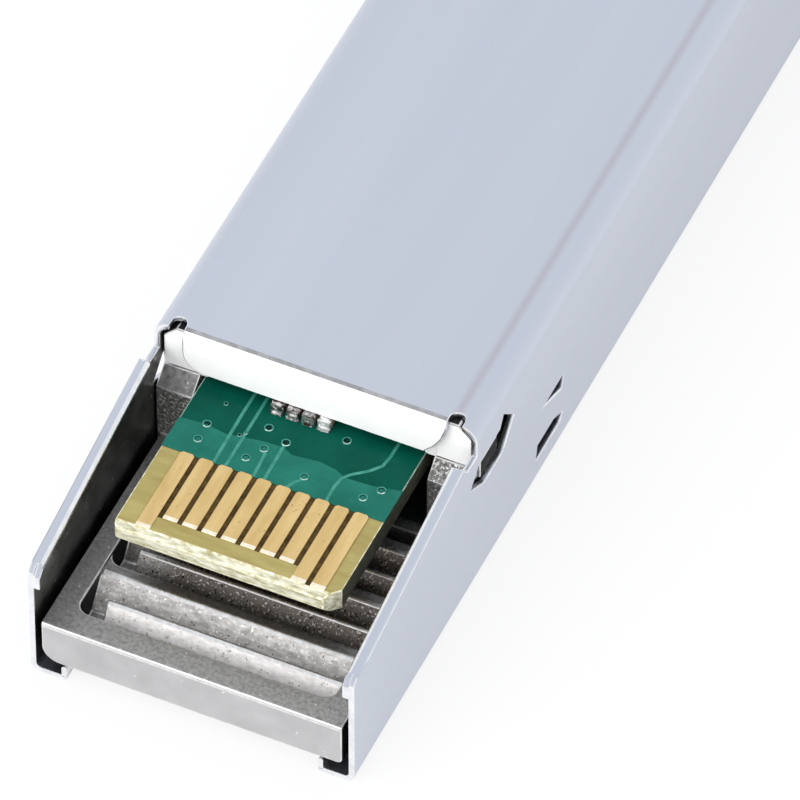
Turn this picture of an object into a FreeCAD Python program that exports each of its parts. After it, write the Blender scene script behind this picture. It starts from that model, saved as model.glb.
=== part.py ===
import FreeCAD, Part
import Sketcher
import os

# A duplex optical transceiver, in millimetres, lying with its latch side up.
# x runs across, y runs from the card edge to the ports, z is up.
# The origin is under the middle of the whole module, on the surface it lies on.
# Stations are measured along the module from its rear end.

document = FreeCAD.newDocument("Transceiver")
sheet = document.addObject("Spreadsheet::Sheet", "Sizes")
next_row = 1


class Measure:
    # A length, kept as an expression on the sheet and as its present number.

    def __init__(self, text, number):
        self.text = text
        self.number = number

    def __add__(self, other):
        other = measure(other)
        return Measure(f"({self.text} + {other.text})", self.number + other.number)

    def __sub__(self, other):
        other = measure(other)
        return Measure(f"({self.text} - {other.text})", self.number - other.number)

    def __rsub__(self, other):
        return measure(other) - self

    def __mul__(self, factor):
        factor = measure(factor)
        return Measure(f"{self.text} * {factor.text}", self.number * factor.number)

    def __truediv__(self, divisor):
        return Measure(f"{self.text} / {divisor}", self.number / divisor)

    def __neg__(self):
        return Measure(f"(0 - {self.text})", -self.number)

    __radd__ = __add__
    __rmul__ = __mul__


def measure(value):
    if isinstance(value, Measure):
        return value
    return Measure(f"({value})", value)


def size(alias, number):
    # One driving dimension: a cell of the sheet with its own name.
    global next_row
    sheet.set(f"A{next_row}", alias)
    sheet.set(f"B{next_row}", str(number))
    sheet.setAlias(f"B{next_row}", alias)
    next_row += 1
    return Measure(f"Sizes.{alias}", number)


# Outer body and its folded sleeve
body_width = size("body_width", 13.4)
body_height = size("body_height", 8.5)
sheet_thickness = size("sheet_thickness", 0.25)
upper_bend = size("upper_bend", 0.8)
lower_bend = size("lower_bend", 0.45)
lip_width = size("lip_width", 1.5)
tray_length = size("tray_length", 42.2)
sleeve_end_gap = size("sleeve_end_gap", 0.1)

# Rear opening of the sleeve
opening_station = size("opening_station", 10.83)
wall_rear_drop = size("wall_rear_drop", 2.75)
wall_front_drop = size("wall_front_drop", 0.8)
wall_front_setback = size("wall_front_setback", 1.2)
wall_corner_round = size("wall_corner_round", 0.45)
relief_slope = size("relief_slope", 0.5)
relief_depth = size("relief_depth", 0.6)
relief_reach = size("relief_reach", 0.12)
hem_height = size("hem_height", 0.6)
flange_clear = size("flange_clear", 0.03)
flange_side = size("flange_side", 1.25)
flange_corner = size("flange_corner", 0.9)
flange_bend = size("flange_bend", 0.4)
notch_width = size("notch_width", 0.6)
notch_depth = size("notch_depth", 0.3)

# Snap window and lanced strap in each wall
window_length = size("window_length", 3.9)
window_height = size("window_height", 1.5)
window_drop = size("window_drop", 2.78)
window_lug_gap = size("window_lug_gap", 0.3)
window_round = size("window_round", 0.5)
window_rear_run = size("window_rear_run", 1.25)
window_front_run = size("window_front_run", 1.0)
window_front_rise = size("window_front_rise", 0.33)
window_top_run = size("window_top_run", 0.78)
window_peak_setback = size("window_peak_setback", 0.94)
window_peak_run = size("window_peak_run", 0.31)
window_peak_rise = size("window_peak_rise", 0.54)
strap_station = size("strap_station", 16.4)
strap_length = size("strap_length", 2.5)
strap_height = size("strap_height", 1.2)
strap_width = size("strap_width", 1.7)
slit_width = size("slit_width", 0.75)
slit_slant = size("slit_slant", 0.16)
slit_tip_rise = size("slit_tip_rise", 0.33)
slit_fall = size("slit_fall", 0.65)
slit_shoulder = size("slit_shoulder", 0.9)

# Die-cast tray
housing_gap = size("housing_gap", 0.05)
rear_side_gap = size("rear_side_gap", 0.25)
lip_gap = size("lip_gap", 0.12)
bar_height = size("bar_height", 2.9)
bar_edge = size("bar_edge", 0.12)
rear_lift = size("rear_lift", 0.85)
rear_left_corner = size("rear_left_corner", 0.7)
rear_right_corner = size("rear_right_corner", 0.25)
pocket_border = size("pocket_border", 0.92)
pocket_corner = size("pocket_corner", 0.5)
serration_relief = size("serration_relief", 0.85)
rear_bar_length = size("rear_bar_length", 1.1)
pocket_depth = size("pocket_depth", 1.4)
serration_pitch = size("serration_pitch", 1.38)
serration_ramp = size("serration_ramp", 0.95)
serration_land = size("serration_land", 0.16)
serration_wide_land = size("serration_wide_land", 0.5)
serration_close = size("serration_close", 0.08)
serration_drop = size("serration_drop", 0.12)
post_setback = size("post_setback", 0.42)
post_length = size("post_length", 1.9)
post_gap = size("post_gap", 0.25)
post_ledge_drop = size("post_ledge_drop", 0.55)
post_shelf_rise = size("post_shelf_rise", 0.08)
shoulder_gap = size("shoulder_gap", 0.08)
post_shoulder_chamfer = size("post_shoulder_chamfer", 0.6)
low_rail_height = size("low_rail_height", 2.4)

# Port block and nose
block_length = size("block_length", 5.3)
nose_length = size("nose_length", 8.5)
nose_overhang = size("nose_overhang", 0.15)
nose_rise = size("nose_rise", 0.1)
nose_edge = size("nose_edge", 0.4)
port_pitch = size("port_pitch", 6.25)
port_width = size("port_width", 4.8)
port_height = size("port_height", 4.8)
port_lead_in = size("port_lead_in", 0.3)
port_key_width = size("port_key_width", 2.6)
port_key_depth = size("port_key_depth", 0.6)
port_roof = size("port_roof", 0.75)

# Circuit board
board_recess = size("board_recess", 3.18)
board_drop = size("board_drop", 2.5)
board_thickness = size("board_thickness", 1.0)
board_bevel = size("board_bevel", 0.22)
tail_width = size("tail_width", 9.2)
tail_shift = size("tail_shift", -0.1)
tail_left_chamfer = size("tail_left_chamfer", 0.15)
tail_right_chamfer = size("tail_right_chamfer", 0.55)
board_side_gap = size("board_side_gap", 0.6)
board_ledge = size("board_ledge", 0.6)
board_front_gap = size("board_front_gap", 2.0)
board_step_gap = size("board_step_gap", 0.3)

# Card-edge contacts
finger_pitch = size("finger_pitch", 0.8)
finger_width = size("finger_width", 0.6)
finger_thickness = size("finger_thickness", 0.05)
finger_length = size("finger_length", 3.32)
finger_extra = size("finger_extra", 0.7)
finger_inset = size("finger_inset", 0.03)
finger_corner = size("finger_corner", 0.1)

# Electronic parts on the board
solder_gap = size("solder_gap", 0.02)
controller_side = size("controller_side", 5.0)
driver_side = size("driver_side", 3.5)
amplifier_side = size("amplifier_side", 3.2)
memory_length = size("memory_length", 3.0)
memory_width = size("memory_width", 2.0)
chip_height = size("chip_height", 0.85)
chip_row_gap = size("chip_row_gap", 0.65)
chip_flex_gap = size("chip_flex_gap", 0.8)
chip_edge_gap = size("chip_edge_gap", 1.55)
capacitor_length = size("capacitor_length", 1.0)
capacitor_width = size("capacitor_width", 0.5)
capacitor_height = size("capacitor_height", 0.45)
resistor_length = size("resistor_length", 0.9)
resistor_width = size("resistor_width", 0.45)
resistor_height = size("resistor_height", 0.3)
bead_length = size("bead_length", 1.6)
bead_width = size("bead_width", 0.8)
bead_height = size("bead_height", 0.7)
small_part_pitch = size("small_part_pitch", 1.5)
filter_pitch = size("filter_pitch", 0.65)
filter_shift = size("filter_shift", -0.47)
filter_reach = size("filter_reach", 0.2)

# Optical sub-assemblies
header_radius = size("header_radius", 2.6)
header_thickness = size("header_thickness", 1.2)
cap_step = size("cap_step", 0.3)
cap_length = size("cap_length", 3.3)
ring_step = size("ring_step", 0.1)
ring_length = size("ring_length", 1.4)
neck_radius = size("neck_radius", 1.8)
neck_length = size("neck_length", 1.3)
flange_radius = size("flange_radius", 2.5)
flange_seat = size("flange_seat", 2.3)
barrel_radius = size("barrel_radius", 1.45)
barrel_reach = size("barrel_reach", 2.4)
ferrule_radius = size("ferrule_radius", 0.63)
ferrule_depth = size("ferrule_depth", 5.0)
ferrule_wall = size("ferrule_wall", 0.3)
bore_gap = size("bore_gap", 0.1)
seat_gap = size("seat_gap", 0.05)
floor_gap = size("floor_gap", 0.2)
cradle_gap = size("cradle_gap", 0.15)
lead_radius = size("lead_radius", 0.2)
lead_offset = size("lead_offset", 0.73)
lead_length = size("lead_length", 0.8)
lead_gap = size("lead_gap", 0.05)
flex_thickness = size("flex_thickness", 0.12)
flex_width = size("flex_width", 4.0)
flex_lap = size("flex_lap", 1.6)
flex_clear = size("flex_clear", 0.2)
clamp_gap = size("clamp_gap", 0.15)
clamp_bridge = size("clamp_bridge", 1.05)

# Latch
channel_depth = size("channel_depth", 1.35)
channel_setback = size("channel_setback", 0.45)
boss_shoulder = size("boss_shoulder", 2.8)
boss_length = size("boss_length", 2.5)
boss_width = size("boss_width", 2.5)
boss_height = size("boss_height", 0.45)
boss_land = size("boss_land", 0.6)
rocker_thickness = size("rocker_thickness", 0.45)
rocker_side_gap = size("rocker_side_gap", 0.25)
rocker_overhang = size("rocker_overhang", 0.3)
pivot_station = size("pivot_station", 1.5)
knuckle_radius = size("knuckle_radius", 0.75)
knuckle_gap = size("knuckle_gap", 0.15)
pin_radius = size("pin_radius", 0.4)
pin_engagement = size("pin_engagement", 1.4)
running_gap = size("running_gap", 0.05)
press_gap = size("press_gap", 0.01)
spring_thickness = size("spring_thickness", 0.15)
spring_foot = size("spring_foot", 1.8)
spring_arm = size("spring_arm", 2.4)
spring_width = size("spring_width", 2.0)

# Bail
wire_radius = size("wire_radius", 0.6)
wire_bend = size("wire_bend", 1.2)
bail_inset = size("bail_inset", 0.05)
bail_face_gap = size("bail_face_gap", 0.12)
bail_floor_gap = size("bail_floor_gap", 0.05)
cam_gap = size("cam_gap", 0.15)
cam_throw = size("cam_throw", 0.65)
cam_half_width = size("cam_half_width", 1.0)
lug_width = size("lug_width", 1.2)
lug_side_gap = size("lug_side_gap", 0.3)
lug_channel_gap = size("lug_channel_gap", 0.35)
lug_wall = size("lug_wall", 0.45)

# Shielding collar
collar_length = size("collar_length", 2.0)
collar_front_gap = size("collar_front_gap", 0.2)
collar_thickness = size("collar_thickness", 0.15)
collar_groove = size("collar_groove", 0.3)
collar_bulge = size("collar_bulge", 0.3)
collar_finger = size("collar_finger", 0.9)
collar_finger_pitch = size("collar_finger_pitch", 1.3)

# How far a cutting shape runs past what it cuts
cutter = 1.0

# Counts that the connector and the shapes fix
finger_count = 10
long_upper_fingers = (0, 8, 9)
long_lower_fingers = (0, 3, 6, 9)
serration_count = 6
collar_finger_count = 5
filter_count = 4
short_serrations = (0, 2)
webbed_serration = 1
side_capacitor_count = 3
resistor_count = 4
lead_corners = ((-1, -1), (1, -1), (-1, 1), (1, 1))

# How near two points are to be taken for one
same_point = 1e-4
document.recompute()

# Levels and stations that follow from the sizes
half_width = body_width / 2
inner_half_width = half_width - sheet_thickness
inner_height = body_height - sheet_thickness
housing_half = inner_half_width - housing_gap
rear_half = inner_half_width - rear_side_gap
lip_edge = half_width - lip_width
pad_half = lip_edge - lip_gap
base_level = sheet_thickness + housing_gap
inner_bend = lower_bend - sheet_thickness
side_level = base_level + inner_bend
floor_half = housing_half - inner_bend
wall_front_station = opening_station - wall_front_setback
wall_rear_height = body_height - wall_rear_drop
wall_front_height = body_height - wall_front_drop
relief_level = wall_front_height - relief_depth
relief_station = wall_front_station + relief_slope
relief_end = opening_station + relief_reach
window_centre_height = body_height - window_drop
flange_half_width = half_width - flange_side
board_top = body_height - board_drop
board_level = board_top - board_thickness
flange_level = board_top + solder_gap + capacitor_height + flange_clear
tail_left = tail_shift - tail_width / 2
tail_right = tail_shift + tail_width / 2
post_inner = tail_width / 2 + post_gap
post_station = opening_station - post_setback
post_end = post_station + post_length
post_ledge_height = board_top - post_ledge_drop
post_shelf_height = board_top + post_shelf_rise
board_half = housing_half - board_side_gap
channel_level = body_height - channel_depth
axis_height = channel_level - port_roof - port_height / 2
floor_level = axis_height - header_radius - floor_gap
clamp_height = axis_height + neck_radius + clamp_gap + clamp_bridge
stop_station = tray_length + block_length
face_station = stop_station + nose_length
nose_half = half_width + nose_overhang
nose_height = body_height + nose_rise
axis_side = port_pitch / 2
cap_radius = header_radius - cap_step
ring_radius = header_radius - ring_step
seat_station = tray_length + flange_seat
neck_end = tray_length + seat_gap
neck_station = neck_end - neck_length
ring_station = neck_station - ring_length
cap_station = ring_station - cap_length
header_station = cap_station - header_thickness
board_end = header_station - board_front_gap
barrel_end = stop_station + barrel_reach
rocker_level = body_height - rocker_thickness
bail_half_width = nose_half - bail_inset - wire_radius
straight_half = bail_half_width - wire_bend
lug_outer = straight_half - lug_side_gap
lug_inner = lug_outer - lug_width
channel_half = lug_inner - lug_channel_gap
rocker_half = channel_half - rocker_side_gap
knuckle_level = body_height - knuckle_radius
rocker_pivot = stop_station + pivot_station
boss_end = tray_length + boss_shoulder
boss_start = boss_end - boss_length
shaft_station = face_station + bail_face_gap + wire_radius
shaft_level = rocker_level - cam_gap - wire_radius
bar_level = bail_floor_gap + wire_radius
lug_radius = wire_radius + running_gap + lug_wall
overall_length = shaft_station + wire_radius + cam_throw


def along(station):
    # The y of a station, so that the middle of the module is at zero.
    return measure(station) - overall_length / 2


def bind(item, name, value):
    item.setExpression(name, measure(value).text)


def block(name, across, stations, up):
    # A box between two values on each axis.
    box = document.addObject("Part::Box", name)
    spans = (across, (along(stations[0]), along(stations[1])), up)
    for length, axis, span in zip(("Length", "Width", "Height"), "xyz", spans):
        low = measure(span[0])
        high = measure(span[1])
        bind(box, length, high - low)
        bind(box, f"Placement.Base.{axis}", low)
    return box


def place(item, x, station, z):
    bind(item, "Placement.Base.x", x)
    bind(item, "Placement.Base.y", along(station))
    bind(item, "Placement.Base.z", z)


def rod_along(name, radius, stations, x, z):
    # A round bar along the module.
    rod = document.addObject("Part::Cylinder", name)
    rod.Placement.Rotation = FreeCAD.Rotation(FreeCAD.Vector(1, 0, 0), -90)
    bind(rod, "Radius", radius)
    bind(rod, "Height", measure(stations[1]) - stations[0])
    place(rod, x, stations[0], z)
    return rod


def rod_across(name, radius, ends, station, z):
    # A round bar across the module.
    rod = document.addObject("Part::Cylinder", name)
    rod.Placement.Rotation = FreeCAD.Rotation(FreeCAD.Vector(0, 1, 0), 90)
    bind(rod, "Radius", radius)
    bind(rod, "Height", measure(ends[1]) - ends[0])
    place(rod, ends[0], station, z)
    return rod


def rod_up(name, radius, x, station, levels):
    # A round bar that stands upright.
    rod = document.addObject("Part::Cylinder", name)
    bind(rod, "Radius", radius)
    bind(rod, "Height", measure(levels[1]) - levels[0])
    place(rod, x, station, levels[0])
    return rod


def origin_plane(body, role):
    for feature in body.Origin.OriginFeatures:
        if feature.Role == role:
            return feature
    raise ValueError(f"no origin plane {role}")


def prism(name, role, corners, start, end, rounds=None):
    # A padded outline whose corners are held to the sheet; rounds gives a radius for a corner.
    body = document.addObject("PartDesign::Body", name)
    sketch = body.newObject("Sketcher::SketchObject", f"{name}_outline")
    sketch.AttachmentSupport = [(origin_plane(body, role), "")]
    sketch.MapMode = "FlatFace"
    corners = [(measure(a), measure(b)) for a, b in corners]
    points = [FreeCAD.Vector(a.number, b.number, 0) for a, b in corners]
    count = len(points)
    for index in range(count):
        sketch.addGeometry(Part.LineSegment(points[index], points[(index + 1) % count]))
    for index in range(count):
        following = (index + 1) % count
        sketch.addConstraint(Sketcher.Constraint("Coincident", index, 2, following, 1))
    for index, corner in enumerate(corners):
        for kind, value in zip(("DistanceX", "DistanceY"), corner):
            rule = Sketcher.Constraint(kind, -1, 1, index, 1, value.number)
            number = sketch.addConstraint(rule)
            sketch.setExpression(f"Constraints[{number}]", value.text)
    start = measure(start)
    end = measure(end)
    pad = body.newObject("PartDesign::Pad", f"{name}_pad")
    pad.Profile = sketch
    bind(pad, "Length", end - start)
    if role == "XZ_Plane":
        bind(sketch, "AttachmentOffset.Base.z", -start)
        pad.Reversed = True
    else:
        bind(sketch, "AttachmentOffset.Base.z", start)
    document.recompute()
    if rounds:
        round_corners(body, pad, role, corners, rounds)
    return body


def round_corners(body, pad, role, corners, rounds):
    # Round the long edges that stand on the chosen corners, one radius at a time.
    axes = {"XY_Plane": ("x", "y"), "XZ_Plane": ("x", "z"), "YZ_Plane": ("y", "z")}[role]
    feature = pad
    for order, (corner, radius) in enumerate(rounds.items()):
        target = [value.number for value in corners[corner]]
        chosen = []
        for number, edge in enumerate(feature.Shape.Edges, start=1):
            ends = [[getattr(vertex.Point, axis) for axis in axes] for vertex in edge.Vertexes]
            if all(abs(end[k] - target[k]) < same_point for end in ends for k in (0, 1)):
                chosen.append(f"Edge{number}")
        fillet = body.newObject("PartDesign::Fillet", f"{body.Name}_round{order}")
        fillet.Base = (feature, chosen)
        bind(fillet, "Radius", radius)
        document.recompute()
        feature = fillet


def fuse(name, items):
    joined = document.addObject("Part::MultiFuse", name)
    joined.Shapes = items
    joined.Refine = True
    return joined


def cut(name, base, tools):
    # Take the tools away from the base.
    tool = tools[0] if len(tools) == 1 else fuse(f"{name}_tools", tools)
    result = document.addObject("Part::Cut", name)
    result.Base = base
    result.Tool = tool
    result.Refine = True
    return result


def common(name, items):
    # Only what the items share.
    shared = document.addObject("Part::MultiCommon", name)
    shared.Shapes = items
    shared.Refine = True
    return shared


def group(name, items):
    # Separate solids of one kind, kept together.
    compound = document.addObject("Part::Compound", name)
    compound.Links = items
    return compound


def sided(side, inner, outer):
    # A span across, on the right side (+1) or the left side (-1).
    inner = measure(inner)
    outer = measure(outer)
    if side > 0:
        return (inner, outer)
    return (-outer, -inner)


nodes = []


def finish(item, name):
    item.Label = name
    nodes.append(item)


def side_name(side):
    return "right" if side > 0 else "left"


def make_sleeve():
    # The folded sleeve: tube, bottom slot, sloped rear opening, flange, hems, windows.
    end = tray_length - sleeve_end_gap
    outer_corners = [(-half_width, 0), (half_width, 0), (half_width, body_height), (-half_width, body_height)]
    outer_rounds = {0: lower_bend, 1: lower_bend, 2: upper_bend, 3: upper_bend}
    outer = prism("sleeve_outer", "XZ_Plane", outer_corners, along(0), along(end), outer_rounds)
    low = sheet_thickness
    inner_corners = [
        (-inner_half_width, low),
        (inner_half_width, low),
        (inner_half_width, inner_height),
        (-inner_half_width, inner_height),
    ]
    inner_upper = upper_bend - sheet_thickness
    inner_rounds = {0: inner_bend, 1: inner_bend, 2: inner_upper, 3: inner_upper}
    bore_ends = (along(-cutter), along(end + cutter))
    inner = prism("sleeve_inner", "XZ_Plane", inner_corners, bore_ends[0], bore_ends[1], inner_rounds)
    lips = block("sleeve_lip_slot", (-lip_edge, lip_edge), (-cutter, end + cutter), (-cutter, low + cutter))
    above = body_height + cutter
    opening_corners = [
        (along(-cutter), wall_rear_height),
        (along(wall_corner_round), wall_rear_height),
        (along(wall_front_station), wall_front_height),
        (along(relief_station), relief_level),
        (along(relief_end), relief_level),
        (along(relief_end), above),
        (along(-cutter), above),
    ]
    wide = half_width + cutter
    opening = prism("sleeve_rear_opening", "YZ_Plane", opening_corners, -wide, wide)
    wall_corner = rear_corner_cut()
    notch_edge = flange_half_width + notch_width
    bend_end = opening_station + flange_bend
    deck_levels = (inner_height - upper_bend, above)
    deck = block("sleeve_deck_cut", (-notch_edge, notch_edge), (0, bend_end), deck_levels)
    tools = [inner, lips, opening, deck, wall_corner]
    for side in (-1, 1):
        tools.extend(notch_tools(side, bend_end, above))
        tools.append(window_tool(side))
        tools.extend(strap_tools(side))
    shell = cut("sleeve_shell", outer, tools)
    pieces = [shell] + flange_pieces(bend_end)
    for side in (-1, 1):
        pieces.append(hem(side))
    finish(fuse("sleeve", pieces), "shield_sleeve")


def rear_corner_cut():
    # What is rounded off the rear upper corner of both walls.
    centre_level = wall_rear_height - wall_corner_round
    corner_corners = [
        (along(-cutter), centre_level),
        (along(wall_corner_round), centre_level),
        (along(wall_corner_round), wall_rear_height + cutter),
        (along(-cutter), wall_rear_height + cutter),
    ]
    wide = half_width + cutter
    square = prism("wall_corner_square", "YZ_Plane", corner_corners, -wide, wide)
    ends = (-wide - cutter, wide + cutter)
    disc = rod_across("wall_corner_disc", wall_corner_round, ends, wall_corner_round, centre_level)
    return cut("wall_corner_cut", square, [disc])


def notch_tools(side, bend_end, above):
    # The relief beside one end of the flange, with a round end.
    name = side_name(side)
    span = sided(side, flange_half_width, flange_half_width + notch_width)
    radius = notch_width / 2
    slot_end = bend_end + notch_depth - radius
    levels = (inner_height - upper_bend, above)
    slot = block(f"notch_slot_{name}", span, (0, slot_end), levels)
    centre = (span[0] + span[1]) / 2
    tip = rod_up(f"notch_end_{name}", radius, centre, slot_end, levels)
    return [slot, tip]


def window_tool(side):
    # The snap window in one wall: a low bow with a raised front corner.
    rear = post_station
    front = rear + window_length
    low = window_centre_height - window_height / 2
    high = window_centre_height + window_height / 2
    corners = [
        (along(rear), window_centre_height),
        (along(rear + window_rear_run), low),
        (along(front - window_front_run), low),
        (along(front), window_centre_height + window_front_rise),
        (along(front - window_peak_setback), high + window_peak_rise),
        (along(front - window_peak_setback - window_peak_run), high),
        (along(rear + window_top_run), high),
    ]
    span = sided(side, inner_half_width - sheet_thickness, half_width + cutter)
    name = f"window_{side_name(side)}"
    return prism(name, "YZ_Plane", corners, span[0], span[1], {1: window_round, 2: window_round})


def strap_tools(side):
    # The two slits beside the lanced strap of one wall.
    span = sided(side, inner_half_width - sheet_thickness, half_width + cutter)
    front = strap_station + strap_length
    upper = strap_height + slit_width + strap_width
    lower_corners = [
        (along(strap_station), strap_height),
        (along(front - slit_width / 3), strap_height),
        (along(front), strap_height + slit_tip_rise),
        (along(front - slit_shoulder), strap_height + slit_width),
        (along(strap_station + slit_slant), strap_height + slit_width),
    ]
    upper_corners = [
        (along(strap_station + slit_width), upper),
        (along(front - slit_slant), upper - slit_fall),
        (along(front), upper),
    ]
    name = side_name(side)
    lower_slit = prism(f"slit_lower_{name}", "YZ_Plane", lower_corners, span[0], span[1])
    upper_slit = prism(f"slit_upper_{name}", "YZ_Plane", upper_corners, span[0], span[1])
    return [lower_slit, upper_slit]


def flange_pieces(bend_end):
    # The rear flange, bent down from the flat face.
    straight_top = body_height - flange_bend
    plate_corners = [
        (-flange_half_width, flange_level),
        (flange_half_width, flange_level),
        (flange_half_width, straight_top),
        (-flange_half_width, straight_top),
    ]
    plate_end = opening_station + sheet_thickness
    plate = prism(
        "flange_plate", "XZ_Plane", plate_corners, along(opening_station), along(plate_end),
        {0: flange_corner, 1: flange_corner},
    )
    bend_span = (-flange_half_width, flange_half_width)
    bend_outer = rod_across("flange_bend_outer", flange_bend, bend_span, bend_end, straight_top)
    half_turn = FreeCAD.Rotation(FreeCAD.Vector(0, 0, 1), 180)
    bend_outer.Angle = 90
    bend_outer.Placement.Rotation = bend_outer.Placement.Rotation.multiply(half_turn)
    inner_radius = flange_bend - sheet_thickness
    ends = (-flange_half_width - cutter, flange_half_width + cutter)
    bend_inner = rod_across("flange_bend_inner", inner_radius, ends, bend_end, straight_top)
    return [plate, cut("flange_bend_shell", bend_outer, [bend_inner])]


def hem(side):
    # The folded-in edge along the top of one rear wall.
    corners = [
        (along(0), wall_rear_height - wall_corner_round - hem_height),
        (along(wall_front_station), wall_front_height - hem_height),
        (along(wall_front_station), wall_front_height),
        (along(wall_corner_round), wall_rear_height),
        (along(0), wall_rear_height - wall_corner_round),
    ]
    span = sided(side, inner_half_width - sheet_thickness, inner_half_width)
    return prism(f"hem_{side_name(side)}", "YZ_Plane", corners, span[0], span[1])


def make_housing():
    # The one-piece casting: rear tray, posts, rails, port block, nose and bail lugs.
    solids = tray_solids() + nose_solids()
    body = fuse("housing_body", solids)
    tools = pocket_tools() + optical_tools() + latch_tools() + collar_tools()
    hollowed = cut("housing_hollowed", body, tools)
    finish(fuse("housing", [hollowed] + serrations()), "cast_housing")


def tray_solids():
    floor_span = (-floor_half, floor_half)
    floor = block("tray_floor", floor_span, (post_station, tray_length), (base_level, floor_level))
    pad_corners = [
        (along(0), rear_lift),
        (along(rear_lift), 0),
        (along(tray_length), 0),
        (along(tray_length), base_level),
        (along(post_station), base_level),
        (along(post_station), rear_lift),
    ]
    pad = prism("tray_pad", "YZ_Plane", pad_corners, -pad_half, pad_half)
    solids = [rear_bar(), floor, pad]
    for side in (-1, 1):
        solids.extend(post_solids(side))
        name = side_name(side)
        ledge_inner = board_half - board_ledge
        rail_span = sided(side, ledge_inner, housing_half)
        solids.append(block(f"rail_{name}", rail_span, (post_end, board_end), (side_level, board_level)))
        low_levels = (side_level, low_rail_height)
        solids.append(block(f"low_rail_{name}", rail_span, (board_end, tray_length), low_levels))
    return solids


def rear_bar():
    # The rear end of the tray: round lower corners and a broken upper edge.
    face_corners = [
        (-rear_half, rear_lift),
        (rear_half, rear_lift),
        (rear_half, bar_height),
        (-rear_half, bar_height),
    ]
    face_rounds = {0: rear_left_corner, 1: rear_right_corner}
    face = prism("rear_bar_face", "XZ_Plane", face_corners, along(0), along(post_station), face_rounds)
    side_corners = [
        (along(0), rear_lift),
        (along(post_station), rear_lift),
        (along(post_station), bar_height),
        (along(0), bar_height),
    ]
    side = prism("rear_bar_side", "YZ_Plane", side_corners, -rear_half, rear_half, {3: bar_edge})
    return common("rear_bar", [face, side])


def post_solids(side):
    # One post beside the tail: rough foot, sloped shelf and smooth shoulder.
    name = side_name(side)
    span = sided(side, post_inner, housing_half)
    shoulder_station = opening_station + sheet_thickness + shoulder_gap
    top = inner_height - housing_gap
    profile = [
        (along(post_station), side_level),
        (along(post_end), side_level),
        (along(post_end), top - post_shoulder_chamfer),
        (along(post_end - post_shoulder_chamfer), top),
        (along(shoulder_station), top),
        (along(shoulder_station), post_shelf_height),
        (along(post_station), post_ledge_height),
    ]
    post = prism(f"post_blank_{name}", "YZ_Plane", profile, span[0], span[1])
    edge = bend_edge(name, side, top)
    lug_span = sided(side, housing_half - board_side_gap / 2, half_width - sheet_thickness / 2)
    lug_rear = post_station + window_top_run + window_lug_gap
    lug_front = post_station + window_length - window_front_run - window_lug_gap
    lug_low = window_centre_height - window_height / 2 + window_lug_gap
    lug_high = window_centre_height + window_height / 2 - window_lug_gap
    rail_lug = block(f"window_lug_{name}", lug_span, (lug_rear, lug_front), (lug_low, lug_high))
    return [cut(f"post_{name}", post, [edge]), rail_lug]


def bend_edge(name, side, top):
    # The corner of a post that would foul the inside of the sleeve's bend.
    reach = upper_bend - sheet_thickness
    outer = housing_half + cutter
    corners = [
        (measure(side) * (housing_half - reach), top + cutter),
        (measure(side) * (housing_half - reach), top),
        (measure(side) * housing_half, top - reach),
        (measure(side) * outer, top - reach),
        (measure(side) * outer, top + cutter),
    ]
    ends = (along(post_station - cutter), along(post_end + cutter))
    return prism(f"post_edge_{name}", "XZ_Plane", corners, ends[0], ends[1])


def nose_solids():
    # The port block, the wider nose and the two lugs that hold the bail.
    port_block = block("port_block", (-half_width, half_width), (tray_length, stop_station), (0, body_height))
    nose_corners = [(-nose_half, 0), (nose_half, 0), (nose_half, nose_height), (-nose_half, nose_height)]
    rounds = {corner: nose_edge for corner in range(4)}
    nose = prism("nose_blank", "XZ_Plane", nose_corners, along(stop_station), along(face_station), rounds)
    solids = [port_block, nose]
    for side in (-1, 1):
        span = sided(side, lug_inner, lug_outer)
        name = side_name(side)
        levels = (shaft_level - lug_radius, shaft_level + lug_radius)
        root = block(f"lug_root_{name}", span, (face_station - cutter, shaft_station), levels)
        eye = rod_across(f"lug_eye_{name}", lug_radius, span, shaft_station, shaft_level)
        solids.extend([root, eye])
    return solids


def pocket_tools():
    half = rear_half - pocket_border
    level = bar_height - pocket_depth
    rear = along(rear_bar_length)
    front = along(pocket_end())
    corners = [(-half, rear), (half, rear), (half, front), (-half, front)]
    rounds = {corner: pocket_corner for corner in range(4)}
    return [prism("tray_pocket", "XY_Plane", corners, level, bar_height + cutter, rounds)]


def pocket_end():
    return rear_bar_length + serration_pitch * serration_count + serration_ramp / 2


def serrations():
    # Cross ridges on the pocket floor, in pairs, each with a ramp towards the rear.
    half = rear_half - pocket_border
    root = bar_height - pocket_depth
    crest = bar_height - serration_drop
    ridges = []
    for index in range(serration_count):
        top = rear_bar_length + serration_ramp + serration_pitch * index
        land = serration_land
        if index % 2:
            top = top - serration_close
            land = serration_wide_land
        front = top + land
        corners = [
            (along(top - serration_ramp), root - serration_land),
            (along(front), root - serration_land),
            (along(front), crest),
            (along(top), crest),
            (along(top - serration_ramp), root),
        ]
        left = serration_relief - half if index in short_serrations else -half
        ridges.append(prism(f"serration_{index}", "YZ_Plane", corners, left, half))
        if index == webbed_serration:
            ridges.append(pocket_web(front, -half, root, crest))
    return ridges


def pocket_web(station, left, root, crest):
    # The round corner where the second pair's trough meets the left border.
    centre = station + pocket_corner
    square_span = (left - pocket_border / 2, left + pocket_corner)
    square = block("web_square", square_span, (station - serration_land, centre), (root, crest))
    levels = (root - cutter, crest + cutter)
    hollow = rod_up("web_hollow", pocket_corner, left + pocket_corner, centre, levels)
    return cut("pocket_web", square, [hollow])


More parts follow.
